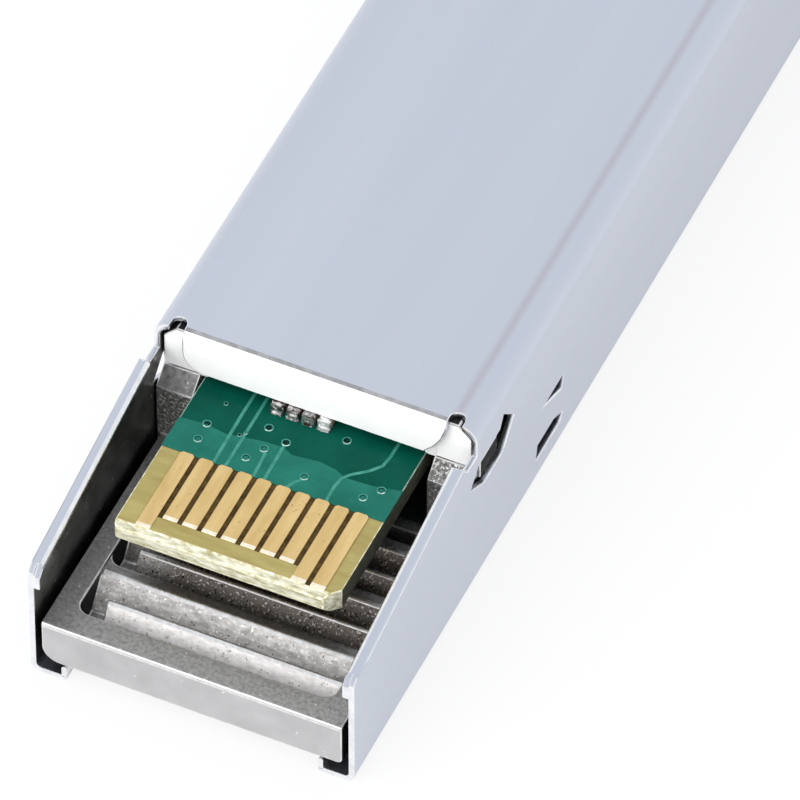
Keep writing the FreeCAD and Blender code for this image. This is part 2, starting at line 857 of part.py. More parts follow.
def optical_tools():
    # Cradles for the cans, stepped bores for the barrels and the two ports with their key slots.
    tools = []
    for side in (-1, 1):
        name = side_name(side)
        x = axis_side * side
        cradle = (board_end, tray_length)
        tools.append(rod_along(f"can_cradle_{name}", header_radius + cradle_gap, cradle, x, axis_height))
        seat = (tray_length - cutter, seat_station)
        tools.append(rod_along(f"seat_bore_{name}", flange_radius + bore_gap, seat, x, axis_height))
        passage = (seat_station - cutter, stop_station + cutter)
        tools.append(rod_along(f"barrel_bore_{name}", barrel_radius + bore_gap, passage, x, axis_height))
        across = (x - port_width / 2, x + port_width / 2)
        low = axis_height - port_height / 2
        high = axis_height + port_height / 2
        port = (stop_station, face_station + cutter)
        tools.append(block(f"port_{name}", across, port, (low, high)))
        key = (x - port_key_width / 2, x + port_key_width / 2)
        tools.append(block(f"port_key_{name}", key, port, (low - port_key_depth, axis_height)))
        mouth_station = face_station - port_lead_in
        mouth_across = (across[0] - port_lead_in, across[1] + port_lead_in)
        mouth = (mouth_station, face_station + cutter)
        tools.append(block(f"port_mouth_{name}", mouth_across, mouth, (low, high)))
    return tools


def latch_tools():
    # The channel for the rocker, the knuckle pocket, the pin hole and the bail holes.
    above = nose_height + cutter
    start = boss_start - channel_setback
    channel_span = (-channel_half, channel_half)
    channel = block("latch_channel", channel_span, (start, face_station + cutter), (channel_level, above))
    reach = knuckle_radius + knuckle_gap
    pocket_span = (rocker_pivot - reach, rocker_pivot + reach)
    pocket_level = knuckle_level - reach
    pocket = block("knuckle_pocket", channel_span, pocket_span, (pocket_level, above))
    pin_half = channel_half + pin_engagement
    hole = rod_across("pin_hole", pin_radius + press_gap, (-pin_half, pin_half), rocker_pivot, knuckle_level)
    tools = [channel, pocket, hole]
    for side in (-1, 1):
        span = sided(side, lug_inner - cutter, lug_outer + cutter)
        radius = wire_radius + running_gap
        tools.append(rod_across(f"lug_hole_{side_name(side)}", radius, span, shaft_station, shaft_level))
    return tools


def collar_span():
    front = stop_station - collar_front_gap
    return (front - collar_length, front)


def collar_tools():
    # The groove round three sides of the port block.
    tools = []
    for side in (-1, 1):
        span = sided(side, half_width - collar_groove, half_width + cutter)
        levels = (-cutter, body_height + cutter)
        tools.append(block(f"collar_groove_{side_name(side)}", span, collar_span(), levels))
    across = (-half_width - cutter, half_width + cutter)
    tools.append(block("collar_groove_bottom", across, collar_span(), (-cutter, collar_groove)))
    return tools


def make_collar():
    # A thin strip round three sides, with bowed fingers on the two walls.
    clear = housing_gap
    outer = half_width - collar_groove + collar_thickness + clear
    inner = outer - collar_thickness
    floor_top = collar_groove - clear
    floor_low = floor_top - collar_thickness
    front = collar_span()[1] - clear
    rear = collar_span()[0] + clear
    pieces = [block("collar_floor", (-outer, outer), (rear, front), (floor_low, floor_top))]
    top = body_height - clear
    middle = (rear + front) / 2
    bow = outer - collar_thickness + collar_bulge
    for side in (-1, 1):
        name = side_name(side)
        wall_span = sided(side, inner, outer)
        pieces.append(block(f"collar_wall_{name}", wall_span, (rear, front), (floor_low, top)))
        for index in range(collar_finger_count):
            low = floor_top + collar_finger_pitch / 2 + collar_finger_pitch * index
            corners = [
                (measure(side) * inner, along(rear)),
                (measure(side) * bow, along(middle)),
                (measure(side) * inner, along(front)),
            ]
            finger = prism(f"collar_finger_{name}_{index}", "XY_Plane", corners, low, low + collar_finger)
            pieces.append(finger)
    finish(fuse("collar", pieces), "shielding_collar")


def make_board():
    # The board: wide inside the sleeve, narrow at the card-edge tail.
    step = post_end + board_step_gap
    corners = [
        (tail_left + tail_left_chamfer, along(board_recess)),
        (tail_right - tail_right_chamfer, along(board_recess)),
        (tail_right, along(board_recess + tail_right_chamfer)),
        (tail_right, along(step)),
        (board_half, along(step)),
        (board_half, along(board_end)),
        (-board_half, along(board_end)),
        (-board_half, along(step)),
        (tail_left, along(step)),
        (tail_left, along(board_recess + tail_left_chamfer)),
    ]
    blank = prism("board_blank", "XY_Plane", corners, board_level, board_top)
    finish(cut("board", blank, board_bevels()), "circuit_board")


def board_bevels():
    # What is sloped off both long edges of the tail's end.
    rear = along(board_recess)
    inside = along(board_recess + board_bevel)
    upper = [(rear, board_top), (rear, board_top - board_bevel), (inside, board_top)]
    lower = [(rear, board_level), (inside, board_level), (rear, board_level + board_bevel)]
    ends = (tail_left - cutter, tail_right + cutter)
    return [
        prism("board_bevel_upper", "YZ_Plane", upper, ends[0], ends[1]),
        prism("board_bevel_lower", "YZ_Plane", lower, ends[0], ends[1]),
    ]


def make_fingers():
    # Ten contacts on each face; the ones that make first are longer.
    upper = (board_top, board_top + finger_thickness)
    lower = (board_level - finger_thickness, board_level)
    finish(group("fingers_upper", finger_row("upper", long_upper_fingers, upper)), "contact_fingers_upper")
    finish(group("fingers_lower", finger_row("lower", long_lower_fingers, lower)), "contact_fingers_lower")


def finger_row(face, long_ones, levels):
    fingers = []
    long_start = board_recess + board_bevel + finger_inset
    short_start = long_start + finger_extra
    end = short_start + finger_length
    half = finger_width / 2
    for index in range(finger_count):
        middle = finger_pitch * (index - (finger_count - 1) / 2)
        start = long_start if index in long_ones else short_start
        corners = [
            (middle - half, along(start)),
            (middle + half, along(start)),
            (middle + half, along(end - finger_corner)),
            (middle + half - finger_corner, along(end)),
            (middle - half + finger_corner, along(end)),
            (middle - half, along(end - finger_corner)),
        ]
        fingers.append(prism(f"finger_{face}_{index}", "XY_Plane", corners, levels[0], levels[1]))
    return fingers


def chip(name, middle_x, station, length, width, height, below=False):
    # A flat part on the board, soldered a hair above or below its face.
    across = (measure(middle_x) - width / 2, measure(middle_x) + width / 2)
    stations = (station - length / 2, station + length / 2)
    if below:
        levels = (board_level - solder_gap - height, board_level - solder_gap)
    else:
        levels = (board_top + solder_gap, board_top + solder_gap + height)
    return block(name, across, stations, levels)


def make_electronics():
    # Integrated circuits in two rows behind the flex circuits, small parts beside them.
    second = board_end - flex_lap - chip_flex_gap - driver_side / 2
    first = second - driver_side / 2 - chip_row_gap - controller_side / 2
    controller = chip("controller", 0, first, controller_side, controller_side, chip_height)
    finish(controller, "controller_chip")
    driver_x = chip_edge_gap + driver_side / 2 - board_half
    driver = chip("driver", driver_x, second, driver_side, driver_side, chip_height)
    finish(driver, "laser_driver_chip")
    amplifier_x = board_half - chip_edge_gap - amplifier_side / 2
    amplifier = chip("amplifier", amplifier_x, second, amplifier_side, amplifier_side, chip_height)
    finish(amplifier, "receiver_amplifier_chip")
    memory = chip("memory", 0, first, memory_length, memory_width, chip_height, True)
    finish(memory, "memory_chip")
    capacitors = []
    filter_station = opening_station - filter_reach + capacitor_length / 2
    for index in range(filter_count):
        x = filter_shift + filter_pitch * (index - (filter_count - 1) / 2)
        part = chip(f"filter_{index}", x, filter_station, capacitor_length, capacitor_width, capacitor_height)
        capacitors.append(part)
    for side in (-1, 1):
        for index in range(side_capacitor_count):
            station = first + small_part_pitch * (index - (side_capacitor_count - 1) / 2)
            x = (controller_side / 2 + capacitor_length) * side
            name = f"capacitor_{side_name(side)}_{index}"
            capacitors.append(chip(name, x, station, capacitor_width, capacitor_length, capacitor_height))
    finish(group("capacitors", capacitors), "filter_capacitors")
    resistors = []
    station = first + memory_length
    for index in range(resistor_count):
        x = small_part_pitch * (index - (resistor_count - 1) / 2)
        part = chip(f"resistor_{index}", x, station, resistor_length, resistor_width, resistor_height, True)
        resistors.append(part)
    finish(group("resistors", resistors), "chip_resistors")
    beads = []
    station = second + bead_length / 2
    for side in (-1, 1):
        x = small_part_pitch * side
        beads.append(chip(f"bead_{side_name(side)}", x, station, bead_length, bead_width, bead_height, True))
    finish(group("beads", beads), "ferrite_beads")


def make_optics(side, title):
    # One optical sub-assembly: can with leads, barrel with ferrule bore, flex to the board.
    x = axis_side * side
    header_span = (header_station, cap_station)
    header = rod_along(f"{title}_header", header_radius, header_span, x, axis_height)
    cap = rod_along(f"{title}_cap", cap_radius, (cap_station, ring_station), x, axis_height)
    lead_span = (header_station - lead_length, header_station)
    flex_span = (header_station - lead_length / 2 - flex_thickness, header_station - lead_length / 2)
    leads = []
    holes = []
    clear = (flex_span[0] - cutter, flex_span[1] + cutter)
    for index, (right, up) in enumerate(lead_corners):
        lead_x = x + lead_offset * right
        lead_z = axis_height + lead_offset * up
        leads.append(rod_along(f"{title}_lead_{index}", lead_radius, lead_span, lead_x, lead_z))
        holes.append(rod_along(f"{title}_hole_{index}", lead_radius + lead_gap, clear, lead_x, lead_z))
    finish(fuse(f"{title}_can_body", [header, cap] + leads), f"{title}_can")
    make_barrel(title, x)
    make_flex(title, x, flex_span, holes)


def make_barrel(title, x):
    ring = rod_along(f"{title}_ring", ring_radius, (ring_station, neck_station), x, axis_height)
    neck = rod_along(f"{title}_neck", neck_radius, (neck_station, neck_end), x, axis_height)
    flange_end = seat_station - seat_gap
    flange = rod_along(f"{title}_flange", flange_radius, (neck_end, flange_end), x, axis_height)
    nose = rod_along(f"{title}_nose", barrel_radius, (flange_end, barrel_end), x, axis_height)
    solid = fuse(f"{title}_barrel_solid", [ring, neck, flange, nose])
    bore_radius = ferrule_radius + ferrule_wall + press_gap
    bore_span = (barrel_end - ferrule_depth, barrel_end + cutter)
    bore = rod_along(f"{title}_bore", bore_radius, bore_span, x, axis_height)
    finish(cut(f"{title}_barrel_body", solid, [bore]), f"{title}_barrel")


def make_flex(title, x, span, holes):
    # A thin circuit that laps onto the board and turns down to the leads.
    level = board_top + solder_gap
    low = axis_height - lead_offset - lead_radius - lead_gap - flex_clear
    lap = board_end - flex_lap
    corners = [
        (along(lap), level),
        (along(span[0]), level),
        (along(span[0]), low),
        (along(span[1]), low),
        (along(span[1]), level + flex_thickness),
        (along(lap), level + flex_thickness),
    ]
    across = (x - flex_width / 2, x + flex_width / 2)
    strip = prism(f"{title}_strip", "YZ_Plane", corners, across[0], across[1])
    finish(cut(f"{title}_flex_body", strip, holes), f"{title}_flex")


def make_ferrule_sleeves():
    # The ceramic sleeves that line up the fibre ferrules.
    tubes = []
    for side in (-1, 1):
        name = side_name(side)
        x = axis_side * side
        span = (barrel_end - ferrule_depth, barrel_end - ferrule_wall)
        outer = rod_along(f"ferrule_outer_{name}", ferrule_radius + ferrule_wall, span, x, axis_height)
        through = (span[0] - cutter, span[1] + cutter)
        inner = rod_along(f"ferrule_inner_{name}", ferrule_radius, through, x, axis_height)
        tubes.append(cut(f"ferrule_{name}", outer, [inner]))
    finish(group("ferrules", tubes), "ferrule_sleeves")


def make_clamp():
    # A plate across the tray that straddles both barrel necks.
    span = (neck_station + clamp_gap, tray_length - clamp_gap)
    half = board_half - board_ledge - clamp_gap
    plate = block("clamp_plate", (-half, half), span, (floor_level + clamp_gap, clamp_height))
    tools = []
    for side in (-1, 1):
        x = axis_side * side
        slot_half = neck_radius + clamp_gap
        name = side_name(side)
        cut_span = (span[0] - cutter, span[1] + cutter)
        tools.append(block(f"clamp_slot_{name}", (x - slot_half, x + slot_half), cut_span, (0, axis_height)))
        tools.append(rod_along(f"clamp_round_{name}", slot_half, cut_span, x, axis_height))
    finish(cut("clamp", plate, tools), "barrel_clamp")


def make_latch():
    # The rocker with its boss, the pin it turns on and the leaf that holds it up.
    front = shaft_station + rocker_overhang
    rocker_span = (-rocker_half, rocker_half)
    plate = block("rocker_plate", rocker_span, (boss_start, front), (rocker_level, body_height))
    boss_corners = [
        (along(boss_start), body_height),
        (along(boss_end), body_height),
        (along(boss_end), body_height + boss_height),
        (along(boss_end - boss_land), body_height + boss_height),
    ]
    boss = prism("latch_boss", "YZ_Plane", boss_corners, -boss_width / 2, boss_width / 2)
    knuckle = rod_across("rocker_knuckle", knuckle_radius, rocker_span, rocker_pivot, knuckle_level)
    solid = fuse("rocker_solid", [plate, boss, knuckle])
    hole_span = (-rocker_half - cutter, rocker_half + cutter)
    hole = rod_across("rocker_hole", pin_radius + running_gap, hole_span, rocker_pivot, knuckle_level)
    finish(cut("rocker", solid, [hole]), "latch_rocker")
    pin_half = channel_half + pin_engagement
    finish(rod_across("pin", pin_radius, (-pin_half, pin_half), rocker_pivot, knuckle_level), "latch_pin")
    make_spring()


def make_spring():
    foot_end = stop_station - collar_front_gap
    bend = foot_end - spring_foot
    tip = bend - spring_arm
    low = channel_level + press_gap
    high = rocker_level - press_gap
    corners = [
        (along(foot_end), low),
        (along(foot_end), low + spring_thickness),
        (along(bend), low + spring_thickness),
        (along(tip), high),
        (along(tip), high - spring_thickness),
        (along(bend), low),
    ]
    spring = prism("spring", "YZ_Plane", corners, -spring_width / 2, spring_width / 2)
    finish(spring, "latch_spring")


def make_bail():
    # A wire loop: shaft through the lugs, two legs and a bar to pull.
    ends = (-straight_half, straight_half)
    shaft = rod_across("bail_shaft", wire_radius, ends, shaft_station, shaft_level)
    bar = rod_across("bail_bar", wire_radius, ends, shaft_station, bar_level)
    pieces = [shaft, bar]
    for side in (-1, 1):
        name = side_name(side)
        leg_low = bar_level + wire_bend
        leg_high = shaft_level - wire_bend
        leg_x = bail_half_width * side
        pieces.append(rod_up(f"bail_leg_{name}", wire_radius, leg_x, shaft_station, (leg_low, leg_high)))
        corner_x = straight_half * side
        pieces.append(wire_corner(f"bail_lower_{name}", corner_x, leg_low, side, False))
        pieces.append(wire_corner(f"bail_upper_{name}", corner_x, leg_high, side, True))
    finish(fuse("bail", pieces), "bail_wire")
    make_cam()


def wire_corner(name, x, z, side, upper):
    # A quarter ring that joins a leg to the shaft or the bar.
    corner = document.addObject("Part::Torus", name)
    bind(corner, "Radius1", wire_bend)
    bind(corner, "Radius2", wire_radius)
    corner.Angle3 = 90
    turns = {(1, True): 0, (-1, True): 90, (-1, False): 180, (1, False): 270}
    upright = FreeCAD.Rotation(FreeCAD.Vector(1, 0, 0), 90)
    turn = FreeCAD.Rotation(FreeCAD.Vector(0, 0, 1), turns[(side, upper)])
    corner.Placement.Rotation = upright.multiply(turn)
    place(corner, x, shaft_station, z)
    return corner


def make_cam():
    # The lobe on the shaft that lifts the rocker's front end.
    span = (-cam_half_width, cam_half_width)
    hub = rod_across("cam_hub", wire_radius, span, shaft_station + cam_throw, shaft_level)
    core_levels = (shaft_level - wire_radius, shaft_level + wire_radius)
    web = block("cam_web", span, (shaft_station, shaft_station + cam_throw), core_levels)
    lobe = fuse("cam_lobe", [hub, web])
    wide = (-cam_half_width - cutter, cam_half_width + cutter)
    hole = rod_across("cam_hole", wire_radius + press_gap, wide, shaft_station, shaft_level)
    finish(cut("cam", lobe, [hole]), "bail_cam")


def write_parts():
    document.recompute()
    for item in document.Objects:
        if "Invalid" in item.State or "Error" in item.State:
            raise RuntimeError(f"{item.Name} did not build: {item.State}")
    os.makedirs("parts", exist_ok=True)
    for item in nodes:
        if item.Shape.isNull() or not item.Shape.isValid():
            raise RuntimeError(f"{item.Label} has no valid shape")
    for item in nodes:
        item.Shape.exportStep(f"parts/{item.Label}.step")
        print(item.Label, len(item.Shape.Solids), round(item.Shape.Volume, 3))


make_sleeve()
make_housing()
make_collar()
make_board()
make_fingers()
make_electronics()
make_optics(-1, "transmitter")
make_optics(1, "receiver")
make_ferrule_sleeves()
make_clamp()
make_latch()
make_bail()
write_parts()
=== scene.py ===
import math
import bmesh
import bpy
from mathutils import Matrix, Vector


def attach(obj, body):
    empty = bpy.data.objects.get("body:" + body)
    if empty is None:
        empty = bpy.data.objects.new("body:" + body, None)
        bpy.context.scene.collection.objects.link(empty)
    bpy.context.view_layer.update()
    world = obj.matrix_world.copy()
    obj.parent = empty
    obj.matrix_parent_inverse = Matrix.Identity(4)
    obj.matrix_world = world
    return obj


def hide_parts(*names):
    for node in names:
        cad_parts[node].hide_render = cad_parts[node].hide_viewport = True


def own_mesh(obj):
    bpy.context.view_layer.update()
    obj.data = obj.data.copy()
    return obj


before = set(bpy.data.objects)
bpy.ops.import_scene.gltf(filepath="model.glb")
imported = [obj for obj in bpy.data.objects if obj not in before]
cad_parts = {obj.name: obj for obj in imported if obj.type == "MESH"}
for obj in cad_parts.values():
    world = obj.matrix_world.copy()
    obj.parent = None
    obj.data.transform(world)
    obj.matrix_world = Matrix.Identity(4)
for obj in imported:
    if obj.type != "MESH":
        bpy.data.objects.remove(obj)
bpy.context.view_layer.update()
mm = 0.001
midStation = 28.985  # the frame's origin, in mm from the rear end
near = 0.01  # mm, places this close together count as one
weldGap = 0.0008  # mm
tiny = 1e-7  # m
flatAngle = 0.6  # degrees, faces that turn less are one face
squareOn = 0.9  # a normal along an axis has at least this share there
print("frame loaded:", len(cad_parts), "nodes")


def atY(station):
    return (station - midStation) * mm


def stationOf(point):
    return point.y / mm + midStation


# picking and editing

def onlyActive(piece):
    bpy.ops.object.select_all(action="DESELECT")
    piece.select_set(True)
    bpy.context.view_layer.objects.active = piece


def startEdit(piece, kind="EDGE"):
    onlyActive(piece)
    bpy.ops.object.mode_set(mode="EDIT")
    bpy.ops.mesh.select_mode(type=kind)
    bpy.ops.mesh.select_all(action="DESELECT")


def endEdit():
    bpy.ops.object.mode_set(mode="OBJECT")


def pick(piece, kind, test):
    mesh = bmesh.from_edit_mesh(piece.data)
    for part in getattr(mesh, kind):
        if test(part):
            part.select_set(True)
    mesh.select_flush_mode()
    bmesh.update_edit_mesh(piece.data)


def onlyPick(piece, kind, test):
    bpy.ops.mesh.select_all(action="DESELECT")
    pick(piece, kind, test)


def fresh(add, name, **settings):
    bpy.ops.object.select_all(action="DESELECT")
    add(**settings)
    piece = bpy.context.object
    piece.name = name
    bpy.ops.object.transform_apply(location=True, rotation=True, scale=True)
    return piece


# cuts what is picked across a plane, and keeps both sides or the side behind it
def cutPicked(point, away, keepBoth=True):
    bpy.ops.mesh.bisect(plane_co=point, plane_no=away, use_fill=not keepBoth,
                        clear_outer=not keepBoth, threshold=tiny)


def cutAcross(point, away, keepBoth=True):
    bpy.ops.mesh.select_all(action="SELECT")
    cutPicked(point, away, keepBoth)


def drawOut(move):
    bpy.ops.mesh.extrude_region_move(TRANSFORM_OT_translate={"value": move})


def giveFinishes(piece, finishes):
    piece.data.materials.clear()
    for finish in finishes:
        piece.data.materials.append(finish)


# the test gets each face's centre, its normal and the face
def paintFaces(piece, slotIndex, test):
    for face in piece.data.polygons:
        if test(face.center, face.normal, face):
            face.material_index = slotIndex


def isBare(face):
    return face.material_index == 0


def isSharp(edge, angle=40):
    return len(edge.link_faces) == 2 and edge.calc_face_angle(0) > math.radians(angle)


def reachAlong(edge, axis):
    return abs(edge.verts[0].co[axis] - edge.verts[1].co[axis])


def smoothOver(piece, angle=35):
    onlyActive(piece)
    bpy.ops.object.shade_smooth_by_angle(angle=math.radians(angle))
    bpy.ops.object.modifier_add(type="WEIGHTED_NORMAL")
    piece.modifiers[-1].keep_sharp = True
    bpy.ops.object.modifier_apply(modifier=piece.modifiers[-1].name)


# a copy of a solid, welded, with its flat faces made whole again
def solidCopy(nodeName, pieceName, finishes):
    piece = bpy.data.objects.new(pieceName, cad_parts[nodeName].data.copy())
    bpy.context.collection.objects.link(piece)
    giveFinishes(piece, finishes)
    startEdit(piece, "VERT")
    bpy.ops.mesh.select_all(action="SELECT")
    bpy.ops.mesh.remove_doubles(threshold=weldGap * mm)
    bpy.ops.mesh.customdata_custom_splitnormals_clear()
    bpy.ops.mesh.dissolve_limited(angle_limit=math.radians(flatAngle))
    endEdit()
    return piece


def breakEdges(piece, width, rounds=2, sharp=40, slotIndex=-1, only=None):
    startEdit(piece)
    if only:
        pick(piece, "edges", only)
    else:
        bpy.ops.mesh.edges_select_sharp(sharpness=math.radians(sharp))
    bpy.ops.mesh.bevel(offset=width * mm, segments=rounds, affect="EDGES", clamp_overlap=False,
                       material=slotIndex, miter_outer="SHARP")
    bpy.ops.mesh.select_all(action="SELECT")
    bpy.ops.mesh.remove_doubles(threshold=weldGap * mm)
    endEdit()


def joinAll(pieces, name):
    onlyActive(pieces[0])
    for piece in pieces:
        piece.select_set(True)
    bpy.ops.object.join()
    joined = bpy.context.object
    joined.name = name
    return joined


def copyTo(piece, name, matrix):
    copy = bpy.data.objects.new(name, piece.data.copy())
    bpy.context.collection.objects.link(copy)
    copy.data.transform(matrix)
    return copy


def shift(x, station, level):
    return Matrix.Translation((x * mm, atY(station), level * mm))


def settle(piece, body, slotName, *nodes):
    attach(piece, body)
    if nodes:
        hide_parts(*nodes)


# finishes: a look's sizes are in mm, and it isn't metal unless it says so
grainSet = {"roughness": 0.55, "toneStops": (0.32, 0.68), "spotDetail": 1.0, "spotEdge": 0.04,
            "waveDetail": 2.0, "gloss": 0.5}
evenLay = (1, 1, 1)


def addNode(tree, kind, **inputs):
    item = tree.nodes.new("ShaderNode" + kind)
    for name, value in inputs.items():
        item.inputs[name].default_value = value
    return item


def grain(tree, size, stretch=evenLay, detail=4.0):
    where = addNode(tree, "TexCoord")
    turn = addNode(tree, "Mapping", Scale=[1 / (size * along * mm) for along in stretch])
    noise = addNode(tree, "TexNoise", Scale=1.0, Detail=detail, Roughness=grainSet["roughness"])
    tree.links.new(where.outputs["Object"], turn.inputs["Vector"])
    tree.links.new(turn.outputs["Vector"], noise.inputs["Vector"])
    return noise.outputs["Fac"]


def between(tree, factor, low, high, start=0.3, end=0.7):
    spread = addNode(tree, "MapRange")
    for socket, value in zip((1, 2, 3, 4), (start, end, low, high)):
        spread.inputs[socket].default_value = value
    tree.links.new(factor, spread.inputs[0])
    return spread.outputs[0]


def tonesOf(tree, factor, stops):
    ramp = addNode(tree, "ValToRGB")
    marks = ramp.color_ramp.elements
    while len(marks) < len(stops):
        marks.new(0.5)
    for mark, (place, tone) in zip(marks, stops):
        mark.position = place
        mark.color = (*tone, 1)
    tree.links.new(factor, ramp.inputs["Fac"])
    return ramp.outputs["Color"]


def blendTones(tree, share, first, second):
    mix = addNode(tree, "Mix")
    mix.data_type = "RGBA"
    shareIn, firstIn, secondIn = (mix.inputs[index] for index in (0, 6, 7))  # its colour sockets
    tree.links.new(share, shareIn)
    tree.links.new(first, firstIn)
    secondIn.default_value = (*second, 1)
    return mix.outputs[2]


# 0 to 1 from one place to another along an axis of the part
def placeAlong(tree, axis, start, end):
    where = addNode(tree, "TexCoord")
    split = addNode(tree, "SeparateXYZ")
    tree.links.new(where.outputs["Object"], split.inputs[0])
    return between(tree, split.outputs[axis], 0, 1, start * mm, end * mm)


def makeFinish(name, look):
    finish = bpy.data.materials.new(name)
    finish.use_nodes = True
    tree = finish.node_tree
    shader = tree.nodes["Principled BSDF"]
    shader.inputs["Metallic"].default_value = look.get("metal", 0.0)
    shader.inputs["Specular IOR Level"].default_value = look.get("gloss", grainSet["gloss"])
    lay = look.get("lay", evenLay)
    tone = tonesOf(tree, grain(tree, look["mottle"], lay),
                   tuple(zip(grainSet["toneStops"], look["tones"])))
    # painted shadow: the tone goes over to a darker one along X
    if "paintedShadowFade" in look:
        start, end, shadowTone = look["paintedShadowFade"]
        tone = blendTones(tree, placeAlong(tree, "X", start, end), tone, shadowTone)
    for size, start, spotTone in look.get("spots", ()):
        spots = between(tree, grain(tree, size, detail=grainSet["spotDetail"]), 0, 1,
                        start, start + grainSet["spotEdge"])
        tone = blendTones(tree, spots, tone, spotTone)
    # painted reflection bands: a darker tone along a strip of the part
    for axis, start, end, reflectionTone in look.get("paintedReflectionBands", ()):
        share = tonesOf(tree, placeAlong(tree, axis, start, end),
                        ((0, (0, 0, 0)), (0.5, (1, 1, 1)), (1, (0, 0, 0))))  # full in the middle
        tone = blendTones(tree, share, tone, reflectionTone)
    tree.links.new(tone, shader.inputs["Base Color"])
    fine = grain(tree, look["fine"], lay)
    tree.links.new(between(tree, fine, *look["rough"]), shader.inputs["Roughness"])
    bump = addNode(tree, "Bump", Strength=1.0, Distance=look["relief"] * mm)
    tree.links.new(fine, bump.inputs["Height"])
    if "wave" in look:
        size, depth = look["wave"]
        swell = addNode(tree, "Bump", Strength=1.0, Distance=depth * mm)
        tree.links.new(grain(tree, size, detail=grainSet["waveDetail"]), swell.inputs["Height"])
        tree.links.new(swell.outputs["Normal"], bump.inputs["Normal"])
    tree.links.new(bump.outputs["Normal"], shader.inputs["Normal"])
    return finish


# a piece's finishes in the order of their slots, and each look's slot
def makeFinishes(part):
    finishes = [makeFinish(name, part[look]) for look, name in part["finishes"].items()]
    return finishes, {look: index for index, look in enumerate(part["finishes"])}


# the way from an aim to what looks at it, turn and rise in degrees
def wayFrom(turn, rise):
    turn, rise = math.radians(turn), math.radians(rise)
    return Vector((math.sin(turn) * math.cos(rise), -math.cos(turn) * math.cos(rise), math.sin(rise)))


# camera at the photograph's place
cameraSet = {"azimuth": 24.770, "elevation": 48.420, "distance": 0.43894, "lens": 521.64,
             "sensor": 36, "clip": (0.01, 50), "target": (1.735 * mm, -14.167 * mm, 4.0 * mm)}


def makeCamera():
    towards = wayFrom(cameraSet["azimuth"], cameraSet["elevation"])
    bpy.ops.object.camera_add(location=Vector(cameraSet["target"]) + towards * cameraSet["distance"],
                              rotation=towards.to_track_quat("Z", "Y").to_euler())
    camera = bpy.context.object
    camera.data.lens = cameraSet["lens"]
    camera.data.sensor_width = cameraSet["sensor"]
    camera.data.clip_start, camera.data.clip_end = cameraSet["clip"]
    bpy.context.scene.camera = camera


makeCamera()
bpy.context.scene.view_settings.view_transform = "Standard"
print("camera placed")

# studio: pale floor, soft sky, two wide lamps in front
studioSet = {
    "floorSize": 2.4, "floorDrop": 0.02, "floorTone": 0.86, "floorGlow": 0.8, "mirrorGlow": 0.4,
    "skyLow": (1.0, 1.0, 1.0), "skyHigh": (0.90, 0.92, 0.96), "skyStops": (0.05, 0.95),
    "lampAim": (0, 8, 4), "lampAspect": 1.5,
    "lamps": {"frontLamp": {"turn": -20, "rise": 20, "distance": 0.5, "size": 0.36, "power": 1.7},
              "topLamp": {"turn": -20, "rise": 64, "distance": 0.6, "size": 0.4, "power": 0.8}}}


# how much the floor glows: full for what the camera sees, less in what is mirrored
def glowShare(tree):
    path = addNode(tree, "LightPath")
    glow = None
    for ray, share in (("Is Camera Ray", studioSet["floorGlow"]),
                       ("Is Transmission Ray", studioSet["floorGlow"]),
                       ("Is Glossy Ray", studioSet["mirrorGlow"])):
        part = addNode(tree, "Math")
        part.operation = "MULTIPLY"
        part.inputs[1].default_value = share
        tree.links.new(path.outputs[ray], part.inputs[0])
        if glow is None:
            glow = part.outputs[0]
        else:
            largest = addNode(tree, "Math")
            largest.operation = "MAXIMUM"
            tree.links.new(glow, largest.inputs[0])
            tree.links.new(part.outputs[0], largest.inputs[1])
            glow = largest.outputs[0]
    return glow


def makeFloor():
    floor = fresh(bpy.ops.mesh.primitive_plane_add, "floor", size=studioSet["floorSize"],
                  location=(0, 0, -studioSet["floorDrop"] * mm))
    pale = bpy.data.materials.new("paleFloor")
    pale.use_nodes = True
    tree = pale.node_tree
    shader = tree.nodes["Principled BSDF"]
    shader.inputs["Base Color"].default_value = (*[studioSet["floorTone"]] * 3, 1)
    shader.inputs["Roughness"].default_value = 1.0
    shader.inputs["Specular IOR Level"].default_value = 0.0
    glow = addNode(tree, "Emission", Color=(1, 1, 1, 1), Strength=1.0)
    mix = addNode(tree, "MixShader")
    tree.links.new(glowShare(tree), mix.inputs[0])
    tree.links.new(shader.outputs[0], mix.inputs[1])
    tree.links.new(glow.outputs[0], mix.inputs[2])
    tree.links.new(mix.outputs[0], tree.nodes["Material Output"].inputs["Surface"])
    giveFinishes(floor, [pale])


def makeSky():
    world = bpy.data.worlds.new("studioSky")
    bpy.context.scene.world = world
    world.use_nodes = True
    tree = world.node_tree
    where = addNode(tree, "TexCoord")
    split = addNode(tree, "SeparateXYZ")
    tree.links.new(where.outputs["Generated"], split.inputs[0])
    lowStop, highStop = studioSet["skyStops"]
    sky = tonesOf(tree, split.outputs["Z"],
                  ((lowStop, studioSet["skyLow"]), (highStop, studioSet["skyHigh"])))
    path = addNode(tree, "LightPath")
    white = blendTones(tree, path.outputs["Is Camera Ray"], sky, (1, 1, 1))
    tree.links.new(white, tree.nodes["Background"].inputs["Color"])
    tree.nodes["Background"].inputs["Strength"].default_value = 1.0


def makeLamps():
    x, station, level = studioSet["lampAim"]
    aim = Vector((x * mm, atY(station), level * mm))
    for name, part in studioSet["lamps"].items():
        towards = wayFrom(part["turn"], part["rise"])
        bpy.ops.object.light_add(type="AREA", location=aim + towards * part["distance"],
                                 rotation=towards.to_track_quat("Z", "Y").to_euler())
        lamp = bpy.context.object
        lamp.name = name
        lamp.data.shape = "RECTANGLE"
        lamp.data.size = part["size"] * studioSet["lampAspect"]
        lamp.data.size_y = part["size"]
        lamp.data.energy = part["power"]
        lamp.visible_glossy = False  # metal mirrors the sky and the floor alone


makeFloor()
makeSky()
makeLamps()
print("studio lit")

